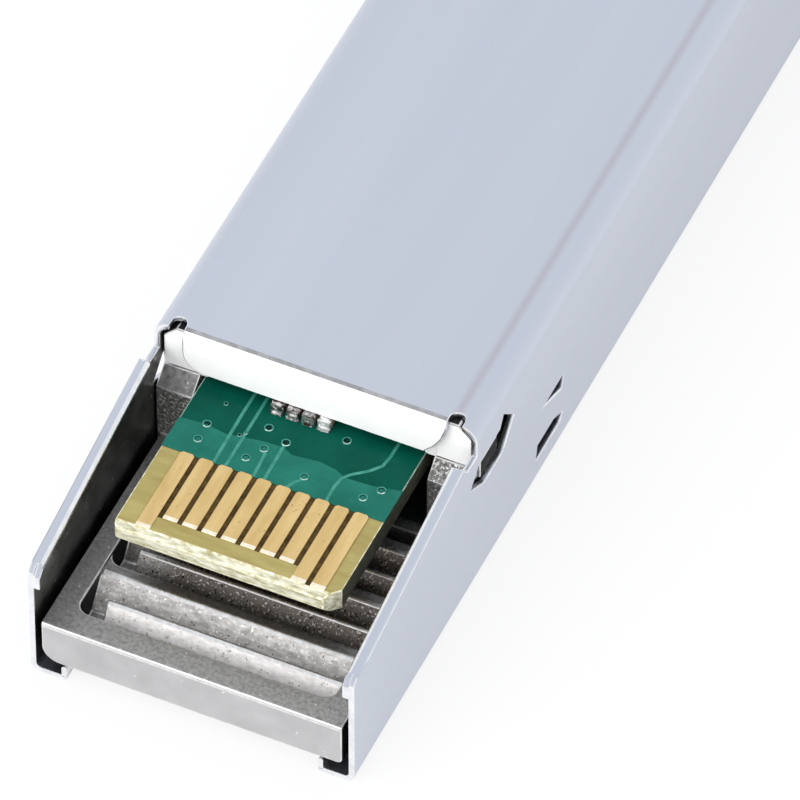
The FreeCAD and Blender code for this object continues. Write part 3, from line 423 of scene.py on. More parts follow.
# folded sleeve: lengths, stations and levels in mm, tilts and leans as shares of a normal
sleeveSet = {
    "finishes": {"steel": "satinSteel", "edge": "burnishedSteel", "flange": "brightFlange",
                 "inside": "innerSteel", "bend": "bendSteel"},
    "edgeRound": 0.05, "rearReach": 0.1, "reliefEnd": 10.95,
    "hemRound": 0.17, "hemLong": 1.0, "hemReach": 0.03, "hemPaintReach": 0.2, "hemEndReach": 0.1,
    "hemTilt": 0.2, "wallOut": 6.7, "hemIn": 6.2, "hemRear": (0.45, 5.75), "hemFront": (9.63, 7.7),
    "flangeStation": 10.83, "flangeLow": 6.4, "flangeReach": 0.05, "flangeHalf": 5.47, "flangeDeep": 0.45,
    "flangeTrim": ((5.45, 8.08), (5.27, 7.5), (4.98, 7.0), (4.56, 6.52)),
    "bendStations": (10.8, 11.2), "bendTilt": (0.86, 0.995), "bendLow": 8.0, "bendLean": -0.05,
    "foldLow": 7.8, "foldLean": -0.4,
    "lipEdge": 5.2, "lipRound": 0.16, "lipRim": (0.22, 0.15, 0.72), "lipRimEnd": 10.3,
    "lipRimCurl": 0.42, "lipRimRound": 0.03,
    # steel: its band beside the fold is a painted dark reflection
    "steel": {"metal": 1.0, "tones": ((0.585, 0.62, 0.70), (0.625, 0.66, 0.74)), "mottle": 5.0,
              "fine": 0.05, "lay": (1, 14, 1), "rough": (0.27, 0.35), "relief": 0.0004,
              "wave": (9.0, 0.02), "paintedReflectionBands": (("X", 5.40, 5.92, (0.52, 0.515, 0.575)),)},
    # bend: a painted dark reflection along the flange's top bend
    "bend": {"metal": 1.0, "tones": ((0.34, 0.34, 0.34), (0.54, 0.54, 0.55)), "mottle": 0.5,
             "fine": 0.08, "rough": (0.3, 0.45), "relief": 0.002},
    # edge: burnished edge wear with a painted highlight on the bevels
    "edge": {"metal": 1.0, "tones": ((0.80, 0.81, 0.83), (0.95, 0.95, 0.96)), "mottle": 0.4,
             "fine": 0.08, "rough": (0.22, 0.36), "relief": 0.002},
    # flange: the steel painted near-white, a painted highlight
    "flange": {"metal": 0.1, "tones": ((0.95, 0.95, 0.95), (0.99, 0.99, 0.98)), "mottle": 0.8,
               "fine": 0.06, "rough": (0.38, 0.5), "relief": 0.0006},
    # inside: painted shade on the walls' inner faces, with lighter specks
    "inside": {"metal": 1.0, "tones": ((0.10, 0.10, 0.096), (0.24, 0.24, 0.235)), "mottle": 0.9,
               "fine": 0.15, "rough": (0.28, 0.44), "relief": 0.006,
               "spots": ((0.3, 0.72, (0.5, 0.5, 0.49)),)}}


def onHemLine(point, reach):
    (s0, z0), (s1, z1) = sleeveSet["hemRear"], sleeveSet["hemFront"]
    s = stationOf(point)
    level = z0 + (z1 - z0) * (s - s0) / (s1 - s0)
    side = abs(point.x) / mm
    onSide = min(abs(side - sleeveSet["wallOut"]), abs(side - sleeveSet["hemIn"])) < reach
    past = sleeveSet["hemEndReach"]
    return onSide and abs(point.z / mm - level) < reach and s0 - past < s < s1 + past


# the flange's right corner is cut back in a long curve
def trimFlange(sleeve):
    rear = sleeveSet["flangeStation"] - near
    front = sleeveSet["flangeStation"] + sleeveSet["flangeDeep"]
    half = sleeveSet["flangeHalf"] * mm
    corners = sleeveSet["flangeTrim"]
    startEdit(sleeve, "FACE")
    for (x0, z0), (x1, z1) in zip(corners, corners[1:]):
        onlyPick(sleeve, "faces", lambda f: all(abs(v.co.x) < half and rear < stationOf(v.co) < front
                                                for v in f.verts))
        cutPicked((x0 * mm, 0, z0 * mm), (z0 - z1, 0, x1 - x0), False)
    endEdit()


# the free edges of the lips are curled up under the tray
def makeLipRims(finish):
    wide, low, high = sleeveSet["lipRim"]
    end = sleeveSet["lipRimEnd"]
    rims = []
    for side in (-1, 1):
        middleX = side * (sleeveSet["lipEdge"] + wide / 2)
        rim = fresh(bpy.ops.mesh.primitive_cube_add, "lipRim", size=1,
                    scale=(wide * mm, end * mm, (high - low) * mm),
                    location=(middleX * mm, atY(end / 2), (low + high) / 2 * mm))
        giveFinishes(rim, [finish])
        breakEdges(rim, wide * sleeveSet["lipRimCurl"], rounds=4,
                   only=lambda e: all(v.co.z > (high - near) * mm for v in e.verts)
                   and reachAlong(e, 0) < tiny)
        breakEdges(rim, sleeveSet["lipRimRound"], sharp=60)
        smoothOver(rim)
        rims.append(rim)
    settle(joinAll(rims, "lipRims"), "module", "sleeve_metal")


def edgeSleeve(sleeve, edgeSlot):
    def onLip(v):
        return abs(abs(v.co.x) / mm - sleeveSet["lipEdge"]) < near and v.co.z < near * mm

    def onHem(v):
        return onHemLine(v.co, sleeveSet["hemReach"])

    breakEdges(sleeve, sleeveSet["lipRound"], rounds=3, slotIndex=edgeSlot,
               only=lambda e: all(onLip(v) for v in e.verts))
    breakEdges(sleeve, sleeveSet["hemRound"], rounds=4, slotIndex=edgeSlot,
               only=lambda e: all(onHem(v) for v in e.verts) and e.calc_length() > sleeveSet["hemLong"] * mm)
    breakEdges(sleeve, sleeveSet["edgeRound"], slotIndex=edgeSlot,
               only=lambda e: isSharp(e) and all(f.material_index != edgeSlot for f in e.link_faces))


def paintSleeve(sleeve, slot):
    (bendRear, bendFront), (lowTilt, highTilt) = sleeveSet["bendStations"], sleeveSet["bendTilt"]

    def atFlange(c, station):
        return abs(stationOf(c) - station) < sleeveSet["flangeReach"]

    def inBend(c, f, low):
        return isBare(f) and bendRear < stationOf(c) < bendFront and c.z > low * mm

    # the flange's face gets the painted highlight
    paintFaces(sleeve, slot["flange"],
               lambda c, n, f: n.y < -squareOn and c.z > sleeveSet["flangeLow"] * mm and isBare(f)
               and atFlange(c, sleeveSet["flangeStation"]))
    # the walls' inner faces get the painted shade
    paintFaces(sleeve, slot["inside"],
               lambda c, n, f: isBare(f) and n.x * c.x < 0 and abs(n.x) > squareOn)
    # the flange's top bend gets the painted dark reflection
    paintFaces(sleeve, slot["bend"],
               lambda c, n, f: inBend(c, f, sleeveSet["bendLow"]) and lowTilt < n.z < highTilt
               and n.y < sleeveSet["bendLean"])
    # the fold above the flange gets the same painted highlight
    paintFaces(sleeve, slot["flange"],
               lambda c, n, f: inBend(c, f, sleeveSet["foldLow"]) and 0 < n.z <= lowTilt
               and n.y < sleeveSet["foldLean"])
    paintFaces(sleeve, slot["steel"],
               lambda c, n, f: f.material_index == slot["edge"] and n.x * c.x > 0
               and n.z > sleeveSet["hemTilt"] and onHemLine(c, sleeveSet["hemPaintReach"]))
    # the rear faces and the relief's end face get the worn edge with its painted highlight
    paintFaces(sleeve, slot["edge"],
               lambda c, n, f: n.y < -squareOn and (stationOf(c) < sleeveSet["rearReach"]
                                                    or atFlange(c, sleeveSet["reliefEnd"])))


def makeSleeve():
    finishes, slot = makeFinishes(sleeveSet)
    sleeve = solidCopy("shield_sleeve", "foldedSleeve", finishes)
    trimFlange(sleeve)
    edgeSleeve(sleeve, slot["edge"])
    paintSleeve(sleeve, slot)
    smoothOver(sleeve)
    settle(sleeve, "module", "sleeve_metal", "shield_sleeve")
    makeLipRims(finishes[slot["edge"]])


makeSleeve()
print("sleeve folded and edged")

# die-cast housing: lengths, stations and levels in mm, tilts and rises as shares of a normal
castSet = {
    "finishes": {"rough": "roughCasting", "edge": "burnishedCasting", "smooth": "smoothCasting",
                 "ramp": "rampCasting", "shoulder": "shoulderCasting", "secondRamp": "secondRampCasting",
                 "deepRamp": "deepRampCasting", "foot": "footCasting", "covered": "coveredCasting",
                 "shelf": "shelfCasting"},
    "edgeRound": 0.06, "rearReach": 0.2, "underHigh": 1.0, "underTilt": -0.5, "noseStation": 42.15,
    "stopStation": 47.5, "stopReach": 0.1, "stopHigh": 0.6,
    "crestRound": 0.09, "wideCrestRound": 0.12, "crestLevel": 2.78, "crestEnd": 9.5, "crestLong": 5.0,
    "crestLean": -0.5, "wideLands": (3.35, 6.11, 8.87), "landReach": 0.02,
    "rampTilt": (-0.95, -0.5), "rampRise": 0.3,
    "rampEnds": {"ramp": 2.2, "secondRamp": 3.5, "deepRamp": 10},
    "pocketEnd": 10, "pocketHigh": 2.85, "pocketTilt": 0.2, "wallIn": 6,
    "shoulderStation": 11.16, "shoulderLow": 5.8, "shoulderReach": 0.06,
    "postStations": (10.2, 12.4), "postIn": 4.5, "postTop": 7.5, "postTopTilt": 0.6,
    "footHigh": 5.6, "footLean": 0.5, "shelfLean": (-0.8, -0.4),
    "earX": (4.42, 4.95), "earZ": (6.08, 7.35), "earStation": (11.12, 11.6), "earRound": 0.2,
    "earEdge": 0.05,
    "rough": {"metal": 1.0, "tones": ((0.32, 0.315, 0.31), (0.53, 0.52, 0.51)), "mottle": 0.16,
              "fine": 0.07, "rough": (0.36, 0.58), "relief": 0.009, "wave": (0.4, 0.008),
              "spots": ((0.14, 0.73, (0.85, 0.85, 0.84)),)},
    # ramp: the first ramp of the casting painted near-white, a painted highlight
    "ramp": {"gloss": 0.3, "tones": ((0.70, 0.67, 0.65), (0.99, 0.96, 0.94)),
             "mottle": 0.16, "lay": (2.2, 1, 1), "fine": 0.10, "rough": (0.36, 0.55), "relief": 0.016,
             "spots": ((0.15, 0.66, (0.46, 0.42, 0.39)),)},
    # secondRamp: the same casting painted greyer, a painted shade
    "secondRamp": {"gloss": 0.3, "tones": ((0.36, 0.345, 0.335), (0.74, 0.72, 0.70)),
                   "mottle": 0.18, "lay": (2.2, 1, 1), "fine": 0.10, "rough": (0.36, 0.55),
                   "relief": 0.016,
                   "spots": ((0.14, 0.68, (0.20, 0.18, 0.16)), (0.12, 0.64, (0.92, 0.90, 0.88)))},
    # deepRamp: the casting painted darker, with a painted shadow coming in towards +X
    "deepRamp": {"metal": 0.9, "tones": ((0.30, 0.28, 0.26), (0.75, 0.72, 0.69)), "mottle": 0.12,
                 "paintedShadowFade": (-4.2, -2.6, (0.20, 0.178, 0.155)), "fine": 0.08, "rough": (0.4, 0.6),
                 "relief": 0.014,
                 "spots": ((0.10, 0.62, (0.70, 0.67, 0.63)), (0.12, 0.64, (0.03, 0.026, 0.022)))},
    # foot: the casting painted darker, a painted shade, with bright specks
    "foot": {"metal": 0.5, "tones": ((0.06, 0.058, 0.054), (0.40, 0.39, 0.375)), "mottle": 0.13,
             "fine": 0.10, "rough": (0.3, 0.55), "relief": 0.02,
             "spots": ((0.13, 0.60, (0.60, 0.60, 0.58)), (0.11, 0.64, (0.98, 0.98, 0.97)))},
    "shelf": {"metal": 0.8, "tones": ((0.17, 0.168, 0.165), (0.36, 0.355, 0.35)), "mottle": 0.22,
              "fine": 0.09, "rough": (0.34, 0.5), "relief": 0.006,
              "spots": ((0.12, 0.72, (0.75, 0.75, 0.73)),)},
    # painted shade: near-black, for faces under the sleeve and in the pockets
    "covered": {"gloss": 0.05, "tones": ((0.006, 0.006, 0.006), (0.022, 0.022, 0.021)),
                "mottle": 0.4, "fine": 0.12, "rough": (0.4, 0.6), "relief": 0.008},
    # edge: burnished edge wear with a painted highlight
    "edge": {"metal": 1.0, "tones": ((0.70, 0.69, 0.68), (0.96, 0.95, 0.94)), "mottle": 0.25,
             "fine": 0.1, "rough": (0.25, 0.42), "relief": 0.008},
    "smooth": {"metal": 1.0, "tones": ((0.545, 0.54, 0.545), (0.635, 0.63, 0.635)), "mottle": 1.4,
               "fine": 0.09, "rough": (0.32, 0.44), "relief": 0.002, "wave": (3.0, 0.012),
               "spots": ((0.3, 0.74, (0.85, 0.85, 0.86)),)},
    # shoulder: the casting painted near-white, a painted highlight
    "shoulder": {"tones": ((0.94, 0.94, 0.94), (0.98, 0.98, 0.98)), "mottle": 0.6,
                 "fine": 0.08, "rough": (0.36, 0.48), "relief": 0.001}}


# each post's shoulder reaches inward over the board, behind the flange
def makeEars(finish):
    ears = []
    spans = (castSet["earX"], castSet["earStation"], castSet["earZ"])
    middle = [(low + high) / 2 for low, high in spans]
    inner = (castSet["earX"][0] + near) * mm
    for side in (-1, 1):
        ear = fresh(bpy.ops.mesh.primitive_cube_add, "shoulderEar", size=1,
                    scale=[(high - low) * mm for low, high in spans],
                    location=(side * middle[0] * mm, atY(middle[1]), middle[2] * mm))
        # the ears take the shoulders' painted highlight
        giveFinishes(ear, [finish])
        breakEdges(ear, castSet["earRound"], rounds=5,
                   only=lambda e: all(abs(v.co.x) < inner for v in e.verts) and reachAlong(e, 1) > near * mm)
        breakEdges(ear, castSet["earEdge"], sharp=60)
        smoothOver(ear)
        ears.append(ear)
    settle(joinAll(ears, "shoulderEars"), "module", "cast_metal")


def edgeCasting(casting, edgeSlot):
    def atStop(v):
        return (abs(stationOf(v.co) - castSet["stopStation"]) < castSet["stopReach"]
                and v.co.z < castSet["stopHigh"] * mm)

    def onCrest(v):
        return stationOf(v.co) < castSet["crestEnd"] and abs(v.co.z / mm - castSet["crestLevel"]) < near

    def isCrest(e):
        return (all(onCrest(v) for v in e.verts) and reachAlong(e, 0) > castSet["crestLong"] * mm
                and len(e.link_faces) == 2 and any(f.normal.y < castSet["crestLean"] for f in e.link_faces))

    def isWide(e):
        return any(abs(stationOf(e.verts[0].co) - land) < castSet["landReach"]
                   for land in castSet["wideLands"])

    # the crests and edges get the worn edge with its painted highlight
    breakEdges(casting, castSet["wideCrestRound"], rounds=3, slotIndex=edgeSlot,
               only=lambda e: isCrest(e) and isWide(e))
    breakEdges(casting, castSet["crestRound"], rounds=3, slotIndex=edgeSlot, only=isCrest)
    breakEdges(casting, castSet["edgeRound"], slotIndex=edgeSlot,
               only=lambda e: isSharp(e) and not any(atStop(v) for v in e.verts))


def paintCasting(casting, slot):
    nose = castSet["noseStation"]
    (postRear, postFront), (steepLean, shelfLean) = castSet["postStations"], castSet["shelfLean"]
    lowTilt, highTilt = castSet["rampTilt"]

    def isRamp(n, f):
        return isBare(f) and lowTilt < n.y < highTilt and n.z > castSet["rampRise"]

    def onPost(c):
        return postRear < stationOf(c) < postFront and abs(c.x) > castSet["postIn"] * mm

    # outside: the nose, the rear bar's face and the underside
    paintFaces(casting, slot["smooth"], lambda c, n, f: isBare(f) and stationOf(c) > nose)
    paintFaces(casting, slot["smooth"],
               lambda c, n, f: isBare(f) and n.y < -squareOn and stationOf(c) < castSet["rearReach"])
    paintFaces(casting, slot["smooth"],
               lambda c, n, f: isBare(f) and n.z < castSet["underTilt"] and c.z < castSet["underHigh"] * mm)
    # the ramps get lit and shaded copies of the casting, row by row: painted light
    for look, end in castSet["rampEnds"].items():
        paintFaces(casting, slot[look], lambda c, n, f: isRamp(n, f) and stationOf(c) < end)
    # the shoulders' front faces get the painted highlight
    paintFaces(casting, slot["shoulder"],
               lambda c, n, f: isBare(f) and n.y < -squareOn and c.z > castSet["shoulderLow"] * mm
               and abs(stationOf(c) - castSet["shoulderStation"]) < castSet["shoulderReach"])
    # under the sleeve: painted shade, near-black
    paintFaces(casting, slot["covered"],
               lambda c, n, f: isBare(f) and stationOf(c) < nose and abs(n.x) > squareOn and n.x * c.x > 0
               and abs(c.x) > castSet["wallIn"] * mm)
    paintFaces(casting, slot["covered"],
               lambda c, n, f: isBare(f) and onPost(c) and n.z > castSet["postTopTilt"]
               and c.z > castSet["postTop"] * mm)
    # the posts' feet, painted darker as painted shade, and the left post's shelf
    paintFaces(casting, slot["foot"],
               lambda c, n, f: isBare(f) and onPost(c) and c.z < castSet["footHigh"] * mm
               and n.y < castSet["footLean"])
    paintFaces(casting, slot["shelf"],
               lambda c, n, f: f.material_index in (slot["rough"], slot["foot"]) and onPost(c)
               and steepLean < n.y < shelfLean and c.x < 0)
    paintFaces(casting, slot["foot"], lambda c, n, f: isBare(f) and onPost(c) and n.y < shelfLean)
    # the pocket's inner walls: painted shade, near-black
    paintFaces(casting, slot["covered"],
               lambda c, n, f: isBare(f) and stationOf(c) < castSet["pocketEnd"]
               and abs(n.z) < castSet["pocketTilt"] and n.x * c.x < 0 and c.z < castSet["pocketHigh"] * mm)


def makeCasting():
    finishes, slot = makeFinishes(castSet)
    casting = solidCopy("cast_housing", "castHousing", finishes)
    edgeCasting(casting, slot["edge"])
    paintCasting(casting, slot)
    smoothOver(casting)
    settle(casting, "module", "cast_metal", "cast_housing")
    makeEars(finishes[slot["shoulder"]])


makeCasting()
print("casting edged")

# circuit board: bare laminate, cut edges, solder mask, traces and vias, as (x, station) in mm
boardSet = {
    "finishes": {"face": "bareLaminate", "cut": "cutLaminate", "rim": "laminateRim",
                 "maskedRim": "maskedRim", "side": "sawnSide"},
    "top": 6.0, "under": 5.0, "rimWide": 0.05, "flatTilt": 0.95,
    "maskStart": 7.40, "maskThick": 0.02, "maskShare": 0.987,
    "pourThick": 0.008, "pourMiddle": 0.5,
    "pourEdge": ((-4.70, 8.95), (-3.63, 9.04), (-2.73, 8.91), (-1.35, 9.15), (-0.51, 9.21),
                 (-0.03, 8.99), (1.07, 9.12), (1.78, 9.01), (2.25, 8.79), (3.34, 8.85), (4.50, 9.1)),
    "traceWide": 0.13, "traceThick": 0.012,
    "traces": (((-2.59, 11.5), (-2.60, 10.1), (-2.55, 7.42)),
               ((-2.07, 11.5), (-2.07, 9.5), (-2.07, 7.42)),
               ((-0.98, 8.66), (-0.95, 8.2), (-0.90, 7.42)),
               ((-0.50, 9.3), (-0.48, 8.4), (-0.47, 7.42)),
               ((3.38, 11.3), (3.36, 10.4), (3.29, 9.92), (2.95, 9.49), (2.36, 9.0), (2.14, 8.68),
                (2.07, 8.21), (2.09, 7.42)),
               ((0.84, 8.05), (0.62, 7.8), (0.45, 7.42))),
    "vias": ((-3.59, 9.06), (-3.58, 8.24), (-1.39, 9.85), (-0.49, 9.44), (-1.11, 8.82), (-1.54, 8.14),
             (1.54, 10.49), (0.85, 8.2), (3.28, 8.17), (3.76, 8.78)),
    "dots": ((-3.37, 10.27), (-2.24, 9.06), (-2.07, 9.25)), "dotShare": 0.5,
    "viaSides": 20, "viaOut": 0.19, "viaRim": 0.055, "viaBowl": 0.03, "viaRise": 0.035, "viaSink": 0.026,
    "viaSeat": 0.005, "bowlTilt": 0.1, "glintTilt": 0.3, "glintSide": (0.4, -0.9), "glintFrom": 0.7,
    # glint: a painted highlight on one side of each via
    "glint": {"metal": 0.3, "tones": ((0.22, 0.45, 0.39), (0.62, 0.80, 0.74)), "mottle": 0.1,
              "fine": 0.08, "rough": (0.15, 0.3), "relief": 0.002},
    "face": {"gloss": 0.3, "tones": ((0.32, 0.255, 0.08), (0.41, 0.345, 0.125)),
             "mottle": 0.6, "fine": 0.16, "lay": (3, 0.6, 1), "rough": (0.35, 0.5), "relief": 0.004},
    "cut": {"gloss": 0.4, "tones": ((0.30, 0.285, 0.16), (0.74, 0.73, 0.59)),
            "mottle": 0.17, "fine": 0.09, "lay": (3, 1, 0.8), "rough": (0.45, 0.7), "relief": 0.02},
    # side: the sawn side painted near-black, a painted shade
    "side": {"gloss": 0.2, "tones": ((0.045, 0.05, 0.035), (0.15, 0.155, 0.11)),
             "mottle": 0.11, "fine": 0.09, "lay": (1, 4, 0.7), "rough": (0.5, 0.7), "relief": 0.02},
    # rim: the laminate painted pale on the top edge's bevel, a painted highlight
    "rim": {"tones": ((0.38, 0.34, 0.14), (0.93, 0.90, 0.72)),
            "mottle": 0.22, "fine": 0.1, "rough": (0.25, 0.45), "relief": 0.01},
    # the bevel beside the mask painted light teal, a painted highlight
    "maskedRim": {"tones": ((0.06, 0.22, 0.17), (0.50, 0.68, 0.60)),
                  "mottle": 0.22, "fine": 0.1, "rough": (0.2, 0.4), "relief": 0.01},
    "mask": {"gloss": 0.04, "tones": ((0.0015, 0.066, 0.045), (0.003, 0.09, 0.062)),
             "mottle": 1.6, "fine": 0.3, "rough": (0.2, 0.3), "relief": 0.0015},
    "pour": {"gloss": 0.1, "tones": ((0.008, 0.122, 0.09), (0.016, 0.17, 0.127)),
             "mottle": 1.4, "fine": 0.3, "rough": (0.2, 0.3), "relief": 0.0015},
    "trace": {"gloss": 0.2, "tones": ((0.025, 0.20, 0.15), (0.06, 0.29, 0.225)),
              "mottle": 0.5, "fine": 0.2, "rough": (0.2, 0.32), "relief": 0.001},
    # bowl: painted shade, near-black, in each via's shallow dip
    "bowl": {"gloss": 0.05, "tones": ((0.001, 0.012, 0.010), (0.004, 0.035, 0.028)),
             "mottle": 0.1, "fine": 0.1, "rough": (0.2, 0.3), "relief": 0.001}}


def makeCore():
    finishes, slot = makeFinishes(boardSet)
    core = solidCopy("circuit_board", "boardCore", finishes)
    # the top edge's bevel gets the painted highlight
    breakEdges(core, boardSet["rimWide"], slotIndex=slot["rim"])
    startEdit(core, "FACE")
    cutAcross((0, atY(boardSet["maskStart"]), 0), (0, 1, 0))
    endEdit()
    paintFaces(core, slot["cut"], lambda c, n, f: isBare(f) and abs(n.z) < boardSet["flatTilt"])
    # past the mask's start the bevel gets the light teal painted highlight
    paintFaces(core, slot["maskedRim"],
               lambda c, n, f: f.material_index == slot["rim"] and stationOf(c) > boardSet["maskStart"])
    # the side faces get the painted shade
    paintFaces(core, slot["side"], lambda c, n, f: abs(n.x) > squareOn)
    smoothOver(core)
    settle(core, "module", "board_laminate", "circuit_board")


# the mask is a thin slice of the board's own outline, moved on to its face
def makeMask(name, upper, finish):
    mask = solidCopy("circuit_board", name, [finish])
    startEdit(mask, "FACE")
    cutAcross((0, atY(boardSet["maskStart"]), 0), (0, -1, 0), False)
    thick = boardSet["maskThick"]
    level, away = (boardSet["top"] - thick, -1) if upper else (boardSet["under"] + thick, 1)
    cutAcross((0, 0, level * mm), (0, 0, away), False)
    bpy.ops.mesh.select_all(action="SELECT")
    bpy.ops.transform.translate(value=(0, 0, -away * thick * mm))
    bpy.ops.transform.resize(value=(boardSet["maskShare"], 1, 1), center_override=(0, 0, 0))  # bare rim
    endEdit()
    settle(mask, "module", "board_laminate")


def raiseFaces(piece, thick):
    startEdit(piece, "FACE")
    bpy.ops.mesh.select_all(action="SELECT")
    drawOut((0, 0, thick * mm))
    bpy.ops.mesh.select_all(action="SELECT")
    bpy.ops.mesh.normals_make_consistent(inside=False)
    endEdit()


# one edge of a small plane, left in edit mode to be drawn out from point to point
def startEdge(name, x, station, level, wide, alongX):
    piece = fresh(bpy.ops.mesh.primitive_plane_add, name, size=wide * mm,
                  location=(x * mm, atY(station), level * mm))
    startEdit(piece, "VERT")
    axis = 1 if alongX else 0
    middle = atY(station) if alongX else x * mm
    onlyPick(piece, "verts", lambda v: v.co[axis] > middle)
    bpy.ops.mesh.delete(type="VERT")
    bpy.ops.mesh.select_all(action="SELECT")
    move = Vector((0, 0, 0))
    move[axis] = wide * mm / 2
    bpy.ops.transform.translate(value=move)
    return piece


def makeTrace(name, route, finish, level):
    piece = startEdge(name, *route[0], level, boardSet["traceWide"], True)
    lastTurn = 0
    for index in range(1, len(route)):
        here, before = route[index], route[index - 1]
        drawOut(Vector(((here[0] - before[0]) * mm, (here[1] - before[1]) * mm, 0)))
        if index < len(route) - 1:
            after = route[index + 1]
            turned = math.atan2(after[0] - before[0], -(after[1] - before[1]))
            bpy.ops.transform.rotate(value=-(turned - lastTurn), orient_axis="Z",
                                     center_override=(here[0] * mm, atY(here[1]), level * mm))
            lastTurn = turned
    endEdit()
    raiseFaces(piece, boardSet["traceThick"])
    giveFinishes(piece, [finish])
    return piece


def makePour(finish, level):
    edge = boardSet["pourEdge"]
    base = boardSet["maskStart"]
    first = edge[0]
    wide = first[1] - base
    middle = atY(base + boardSet["pourMiddle"])
    piece = startEdge("copperPour", first[0], base + wide / 2, level, wide, False)
    for before, here in zip(edge, edge[1:]):
        drawOut(((here[0] - before[0]) * mm, 0, 0))
        newX = here[0] * mm
        onlyPick(piece, "verts", lambda v: abs(v.co.x - newX) < near * mm and v.co.y > middle)
        bpy.ops.transform.translate(value=(0, (here[1] - before[1]) * mm, 0))
        onlyPick(piece, "verts", lambda v: abs(v.co.x - newX) < near * mm)
    endEdit()
    raiseFaces(piece, boardSet["pourThick"])
    giveFinishes(piece, [finish])
    settle(piece, "module", "board_laminate")


def makeVias(finishes, level):
    bowlSlot, glintSlot = 1, 2  # the rim has the first
    via = fresh(bpy.ops.mesh.primitive_cylinder_add, "viaPattern", vertices=boardSet["viaSides"],
                radius=boardSet["viaOut"] * mm, depth=boardSet["viaRise"] * mm)
    giveFinishes(via, finishes)
    startEdit(via, "FACE")
    onlyPick(via, "faces", lambda f: f.normal.z > squareOn)
    bpy.ops.mesh.inset(thickness=boardSet["viaRim"] * mm)
    bpy.ops.mesh.inset(thickness=boardSet["viaBowl"] * mm, depth=-boardSet["viaSink"] * mm)
    endEdit()
    hole = (boardSet["viaOut"] - boardSet["viaRim"]) * mm
    sideX, sideY = boardSet["glintSide"]
    paintFaces(via, glintSlot, lambda c, n, f: n.z > boardSet["glintTilt"]  # painted highlight on one side of the ring
               and c.x * sideX + c.y * sideY > hole * boardSet["glintFrom"])
    # the bowl gets the painted shade
    paintFaces(via, bowlSlot, lambda c, n, f: n.z > boardSet["bowlTilt"] and Vector((c.x, c.y)).length < hole)
    smoothOver(via, angle=50)
    spots = [(place, 1.0) for place in boardSet["vias"]]
    spots += [(place, boardSet["dotShare"]) for place in boardSet["dots"]]
    copies = [copyTo(via, "via", shift(*place, level) @ Matrix.Diagonal((size, size, 1, 1)))
              for place, size in spots]
    bpy.data.objects.remove(via)
    settle(joinAll(copies, "boardVias"), "module", "board_laminate")


def makeBoard():
    makeCore()
    maskFinish = makeFinish("solderMask", boardSet["mask"])
    makeMask("upperMask", True, maskFinish)
    makeMask("lowerMask", False, maskFinish)
    faceLevel = boardSet["top"] + boardSet["maskThick"]
    makePour(makeFinish("maskOverCopper", boardSet["pour"]), faceLevel)
    traceFinish = makeFinish("maskOverTrace", boardSet["trace"])
    traces = [makeTrace("trace", route, traceFinish, faceLevel) for route in boardSet["traces"]]
    settle(joinAll(traces, "boardTraces"), "module", "board_laminate")
    viaFinishes = [traceFinish, makeFinish("viaBowl", boardSet["bowl"]),
                   makeFinish("viaGlint", boardSet["glint"])]
    makeVias(viaFinishes, faceLevel + boardSet["viaRise"] / 2 - boardSet["viaSeat"])


makeBoard()
print("board masked, traced and drilled")

# gold contact fingers, with cream cut ends and dark strips between them
fingerSet = {
    "finishes": {"gold": "fingerGold", "end": "fingerEnd"},
    "count": 10, "firstX": -3.6, "pitch": 0.8, "wide": 0.6, "edgeRound": 0.015, "endLength": 0.17,
    "shortRear": 4.13, "longRear": 3.43, "front": 7.45, "gapThick": 0.006,
    "longUpper": (0, 8, 9), "longLower": (0, 3, 6, 9),
    "gold": {"metal": 1.0, "tones": ((0.72, 0.50, 0.205), (0.86, 0.64, 0.30)), "mottle": 0.5,
             "fine": 0.07, "lay": (1, 6, 1), "rough": (0.28, 0.42), "relief": 0.003,
             "spots": ((0.13, 0.74, (0.40, 0.26, 0.09)),)},
    "end": {"metal": 0.6, "tones": ((0.86, 0.76, 0.55), (0.98, 0.93, 0.80)), "mottle": 0.2,
            "fine": 0.08, "rough": (0.3, 0.45), "relief": 0.002},
    "gap": {"gloss": 0.1, "tones": ((0.035, 0.02, 0.005), (0.10, 0.062, 0.018)),
            "mottle": 0.3, "fine": 0.1, "rough": (0.5, 0.7), "relief": 0.003}}


def rearOf(isLong):
    return fingerSet["longRear"] if isLong else fingerSet["shortRear"]


def makeFingers(name, nodeName, longOnes, finishes, endSlot):
    fingers = solidCopy(nodeName, name, finishes)
    startEdit(fingers, "FACE")
    for isLong in (False, True):
        cutAcross((0, atY(rearOf(isLong) + fingerSet["endLength"]), 0), (0, 1, 0))
    endEdit()
    breakEdges(fingers, fingerSet["edgeRound"], rounds=1, sharp=50)

    def isEnd(c, n, f):
        index = round((c.x / mm - fingerSet["firstX"]) / fingerSet["pitch"])
        return stationOf(c) < rearOf(index in longOnes) + fingerSet["endLength"]

    paintFaces(fingers, endSlot, isEnd)
    smoothOver(fingers)
    settle(fingers, "module", "contact_gold", nodeName)


def makeGaps(name, longOnes, level, finish):
    wide = fingerSet["pitch"] - fingerSet["wide"]
    strips = []
    for index in range(fingerSet["count"] - 1):
        rear = rearOf(index in longOnes and index + 1 in longOnes)
        x = fingerSet["firstX"] + fingerSet["pitch"] * (index + 0.5)
        strip = startEdge("gapStrip", x, fingerSet["front"], level, wide, True)
        drawOut((0, (rear - fingerSet["front"]) * mm, 0))
        endEdit()
        raiseFaces(strip, fingerSet["gapThick"])
        giveFinishes(strip, [finish])
        strips.append(strip)
    settle(joinAll(strips, name), "module", "board_laminate")


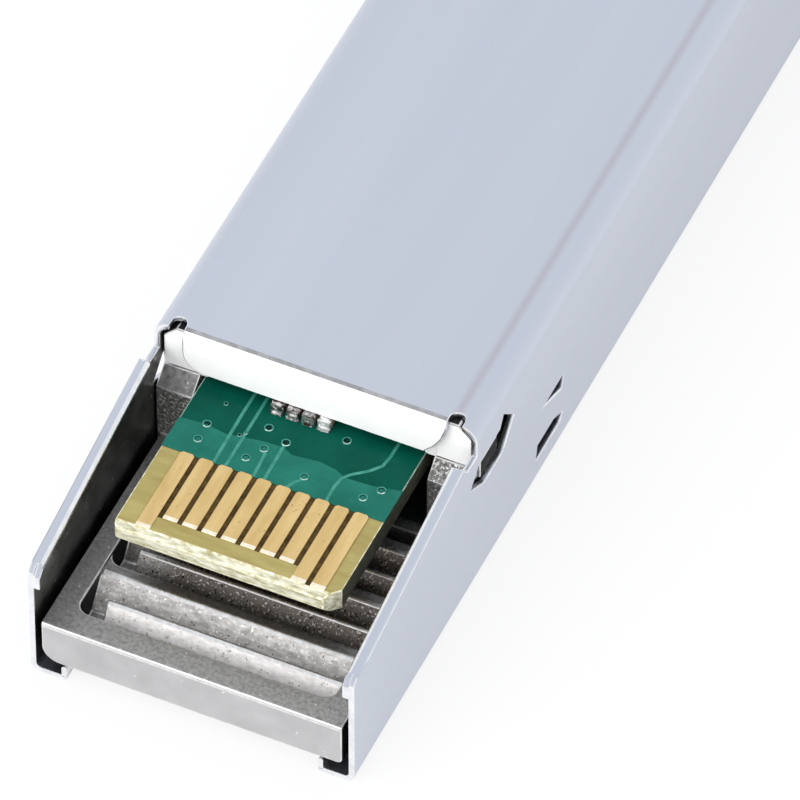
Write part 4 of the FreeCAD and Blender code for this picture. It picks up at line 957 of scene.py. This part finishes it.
def makeContacts():
    finishes, slot = makeFinishes(fingerSet)
    gapFinish = makeFinish("etchedGap", fingerSet["gap"])
    longUpper, longLower = fingerSet["longUpper"], fingerSet["longLower"]
    makeFingers("upperFingers", "contact_fingers_upper", longUpper, finishes, slot["end"])
    makeFingers("lowerFingers", "contact_fingers_lower", longLower, finishes, slot["end"])
    makeGaps("upperGaps", longUpper, boardSet["top"], gapFinish)
    makeGaps("lowerGaps", longLower, boardSet["under"] - fingerSet["gapThick"], gapFinish)


makeContacts()
print("fingers plated")

# small capacitors with tinned ends and solder fillets
capSet = {
    "finishes": {"body": "capacitorCeramic", "tin": "tinSolder"},
    "wide": 0.5, "long": 1.0, "tall": 0.45, "endLong": 0.27, "endSwell": 0.012, "endStep": 0.02,
    "edgeRound": 0.04, "level": 6.02,
    "filletLong": 0.14, "filletTall": 0.30, "filletShare": 0.92, "filletOut": 0.3, "filletTop": 0.9,
    "filletIn": 0.03, "filletDrop": 0.8, "filletRound": 0.03,
    "rowStation": 11.13, "rowX": (-1.445, -0.795, -0.145, 0.505), "brightOne": 3,
    "unevenness": 0.05, "unevenShare": 0.6, "unevenFrom": (0.1, 0.02), "firstSeed": 3,
    "sideX": (-3.5, 3.5), "sideStations": (22.5, 24.0, 25.5),
    "body": {"tones": ((0.22, 0.13, 0.085), (0.42, 0.29, 0.21)), "mottle": 0.1,
             "fine": 0.06, "rough": (0.35, 0.5), "relief": 0.004},
    "tin": {"metal": 0.9, "tones": ((0.10, 0.06, 0.05), (0.95, 0.94, 0.93)), "mottle": 0.2,
            "fine": 0.09, "rough": (0.2, 0.36), "relief": 0.01, "wave": (0.2, 0.03)},
    "solder": {"metal": 0.6, "tones": ((0.80, 0.80, 0.79), (0.97, 0.97, 0.96)), "mottle": 0.2,
               "fine": 0.09, "rough": (0.25, 0.4), "relief": 0.006}}


def makeFillet(side, finishes, tinSlot):
    half = capSet["long"] / 2
    long, tall = capSet["filletLong"], capSet["filletTall"]
    fillet = fresh(bpy.ops.mesh.primitive_cube_add, "filletPattern", size=1,
                   scale=(capSet["wide"] * capSet["filletShare"] * mm, long * mm, tall * mm),
                   location=(0, side * (half + long * capSet["filletOut"]) * mm, tall / 2 * mm))
    giveFinishes(fillet, finishes)
    startEdit(fillet, "VERT")
    top = tall * capSet["filletTop"] * mm
    onlyPick(fillet, "verts", lambda v: v.co.z > top and side * v.co.y > half * mm)
    bpy.ops.transform.translate(value=(0, -side * capSet["filletIn"] * mm,
                                       -tall * capSet["filletDrop"] * mm))
    endEdit()
    breakEdges(fillet, capSet["filletRound"], sharp=30)
    paintFaces(fillet, tinSlot, lambda c, n, f: True)
    return fillet


def makeCapacitor(finishes, tinSlot):
    middle = (0, 0, capSet["tall"] / 2 * mm)
    body = fresh(bpy.ops.mesh.primitive_cube_add, "capacitorPattern", size=1, location=middle,
                 scale=(capSet["wide"] * mm, capSet["long"] * mm, capSet["tall"] * mm))
    giveFinishes(body, finishes)
    limit = (capSet["long"] / 2 - capSet["endLong"]) * mm
    step = capSet["endStep"] * mm
    startEdit(body, "FACE")
    for side in (-1, 1):
        cutAcross((0, side * limit, 0), (0, 1, 0))
        cutAcross((0, side * (limit - step), 0), (0, 1, 0))
    onlyPick(body, "verts", lambda v: abs(v.co.y) < limit - step / 2)
    share = 1 - 2 * capSet["endSwell"] / capSet["wide"]
    bpy.ops.transform.resize(value=(share, 1, share), center_override=middle)
    endEdit()
    breakEdges(body, capSet["edgeRound"], sharp=60)
    paintFaces(body, tinSlot, lambda c, n, f: abs(c.y) > limit - step / 4)
    fillets = [makeFillet(side, finishes, tinSlot) for side in (-1, 1)]
    pattern = joinAll([body] + fillets, "capacitorPattern")
    smoothOver(pattern, angle=45)
    return pattern


def makeCapacitors():
    finishes, slot = makeFinishes(capSet)
    pattern = makeCapacitor(finishes, slot["tin"])
    level, row = capSet["level"], capSet["rowStation"]
    copies = [copyTo(pattern, "capacitor", shift(x, row, level)) for x in capSet["rowX"]]
    behind, above = capSet["unevenFrom"]
    for seed, copy in enumerate(copies, capSet["firstSeed"]):  # hand-soldered, each a little different
        startEdit(copy, "VERT")
        bpy.ops.mesh.select_all(action="SELECT")
        bpy.ops.mesh.subdivide(number_cuts=1)
        onlyPick(copy, "verts", lambda v: stationOf(v.co) < row - behind and v.co.z > (level + above) * mm)
        bpy.ops.transform.vertex_random(offset=capSet["unevenness"] * mm, uniform=capSet["unevenShare"],
                                        normal=0.0, seed=seed)
        endEdit()
    copies[capSet["brightOne"]].data.materials[slot["tin"]] = makeFinish("brightSolder", capSet["solder"])
    across = Matrix.Rotation(math.radians(90), 4, "Z")
    for x in capSet["sideX"]:
        for station in capSet["sideStations"]:
            copies.append(copyTo(pattern, "capacitor", shift(x, station, level) @ across))
    bpy.data.objects.remove(pattern)
    settle(joinAll(copies, "filterCapacitors"), "module", "capacitor_body", "filter_capacitors")


makeCapacitors()
print("capacitors soldered")

# latch, bail, optics and chips: the solids, with broken edges where they are square
steelLay = {"metal": 1.0, "mottle": 1.2, "fine": 0.05, "rough": (0.26, 0.38), "relief": 0.0015}
barrelLook = {**steelLay, "tones": ((0.56, 0.56, 0.58), (0.68, 0.68, 0.70))}
chipLook = {"tones": ((0.010, 0.010, 0.011), (0.026, 0.026, 0.028)), "mottle": 0.5,
            "fine": 0.06, "rough": (0.42, 0.6), "relief": 0.005}
pieceSets = {
    "latch_rocker": {
        "name": "latchPlate", "body": "rocker", "slot": "latch_metal", "edgeRound": 0.05,
        "look": {**steelLay, "tones": ((0.55, 0.56, 0.58), (0.66, 0.67, 0.69)), "lay": (1, 10, 1)}},
    "bail_cam": {
        "name": "bailCam", "body": "bail", "slot": "latch_metal", "edgeRound": 0.05,
        "look": {**steelLay, "tones": ((0.52, 0.53, 0.55), (0.64, 0.65, 0.67))}},
    "shielding_collar": {
        "name": "springCollar", "slot": "spring_steel", "edgeRound": 0.02,
        "look": {**steelLay, "tones": ((0.66, 0.64, 0.58), (0.78, 0.76, 0.70)), "lay": (10, 1, 1)}},
    "latch_spring": {
        "name": "leafSpring", "slot": "spring_steel", "edgeRound": 0.02,
        "pressed": {"joint": "latch_tilt", "footY": 16.5, "footLevel": 7.15, "keep": 0.25},
        "look": {**steelLay, "tones": ((0.60, 0.60, 0.62), (0.70, 0.70, 0.72)), "lay": (1, 8, 1)}},
    "latch_pin": {
        "name": "latchPin", "slot": "pin_steel", "edgeRound": 0.04,
        "look": {**steelLay, "tones": ((0.55, 0.55, 0.57), (0.66, 0.66, 0.68)), "lay": (8, 1, 1)}},
    "transmitter_barrel": {
        "name": "transmitBarrel", "slot": "barrel_metal", "edgeRound": 0.05, "look": barrelLook},
    "receiver_barrel": {
        "name": "receiveBarrel", "slot": "barrel_metal", "edgeRound": 0.05, "look": barrelLook},
    "barrel_clamp": {
        "name": "barrelClamp", "slot": "clamp_plastic", "edgeRound": 0.08,
        "look": {"tones": ((0.012, 0.012, 0.013), (0.03, 0.03, 0.032)), "mottle": 0.6, "fine": 0.08,
                 "rough": (0.45, 0.62), "relief": 0.006}},
}
for nodeName, pieceName in (("controller_chip", "controllerChip"), ("laser_driver_chip", "driverChip"),
                            ("receiver_amplifier_chip", "amplifierChip"), ("memory_chip", "memoryChip")):
    pieceSets[nodeName] = {"name": pieceName, "slot": "chip_resin", "edgeRound": 0.06,
                           "look": chipLook}
pieceSets["chip_resistors"] = {
    "name": "chipResistors", "slot": "resistor_body", "edgeRound": 0.03,
    "look": {**chipLook, "tones": ((0.015, 0.015, 0.017), (0.05, 0.05, 0.055)), "rough": (0.3, 0.45)}}
pieceSets["ferrite_beads"] = {
    "name": "ferriteBeads", "slot": "bead_body", "edgeRound": 0.05,
    "look": {**chipLook, "tones": ((0.06, 0.06, 0.063), (0.12, 0.12, 0.125))}}


def makeSoftened():
    for nodeName, part in pieceSets.items():
        piece = solidCopy(nodeName, part["name"], [makeFinish(part["name"] + "Finish", part["look"])])
        breakEdges(piece, part["edgeRound"])
        smoothOver(piece)
        settle(piece, part.get("body", "module"), part["slot"], nodeName)
        if "pressed" in part:  # the leaf spring gets a mesh of its own
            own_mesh(piece)


makeSoftened()
print("latch, optics and chips edged")

# solids that keep their own shape and get a finish
canLook = {**steelLay, "tones": ((0.62, 0.52, 0.30), (0.76, 0.66, 0.42))}
flexLook = {"tones": ((0.38, 0.17, 0.025), (0.55, 0.28, 0.05)), "mottle": 0.8,
            "fine": 0.2, "rough": (0.25, 0.4), "relief": 0.002}
nodeLooks = {
    "bail_wire": {**steelLay, "tones": ((0.56, 0.57, 0.59), (0.68, 0.69, 0.71)), "lay": (4, 1, 4)},
    "transmitter_can": canLook, "receiver_can": canLook,
    "transmitter_flex": flexLook, "receiver_flex": flexLook,
    "ferrule_sleeves": {"tones": ((0.80, 0.78, 0.74), (0.90, 0.89, 0.86)), "mottle": 0.7,
                        "fine": 0.2, "rough": (0.12, 0.2), "relief": 0.001},
}


def dressNodes():
    for nodeName, look in nodeLooks.items():
        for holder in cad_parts[nodeName].material_slots:
            holder.material = makeFinish(nodeName + "Finish", look)


dressNodes()
print("remaining solids finished")
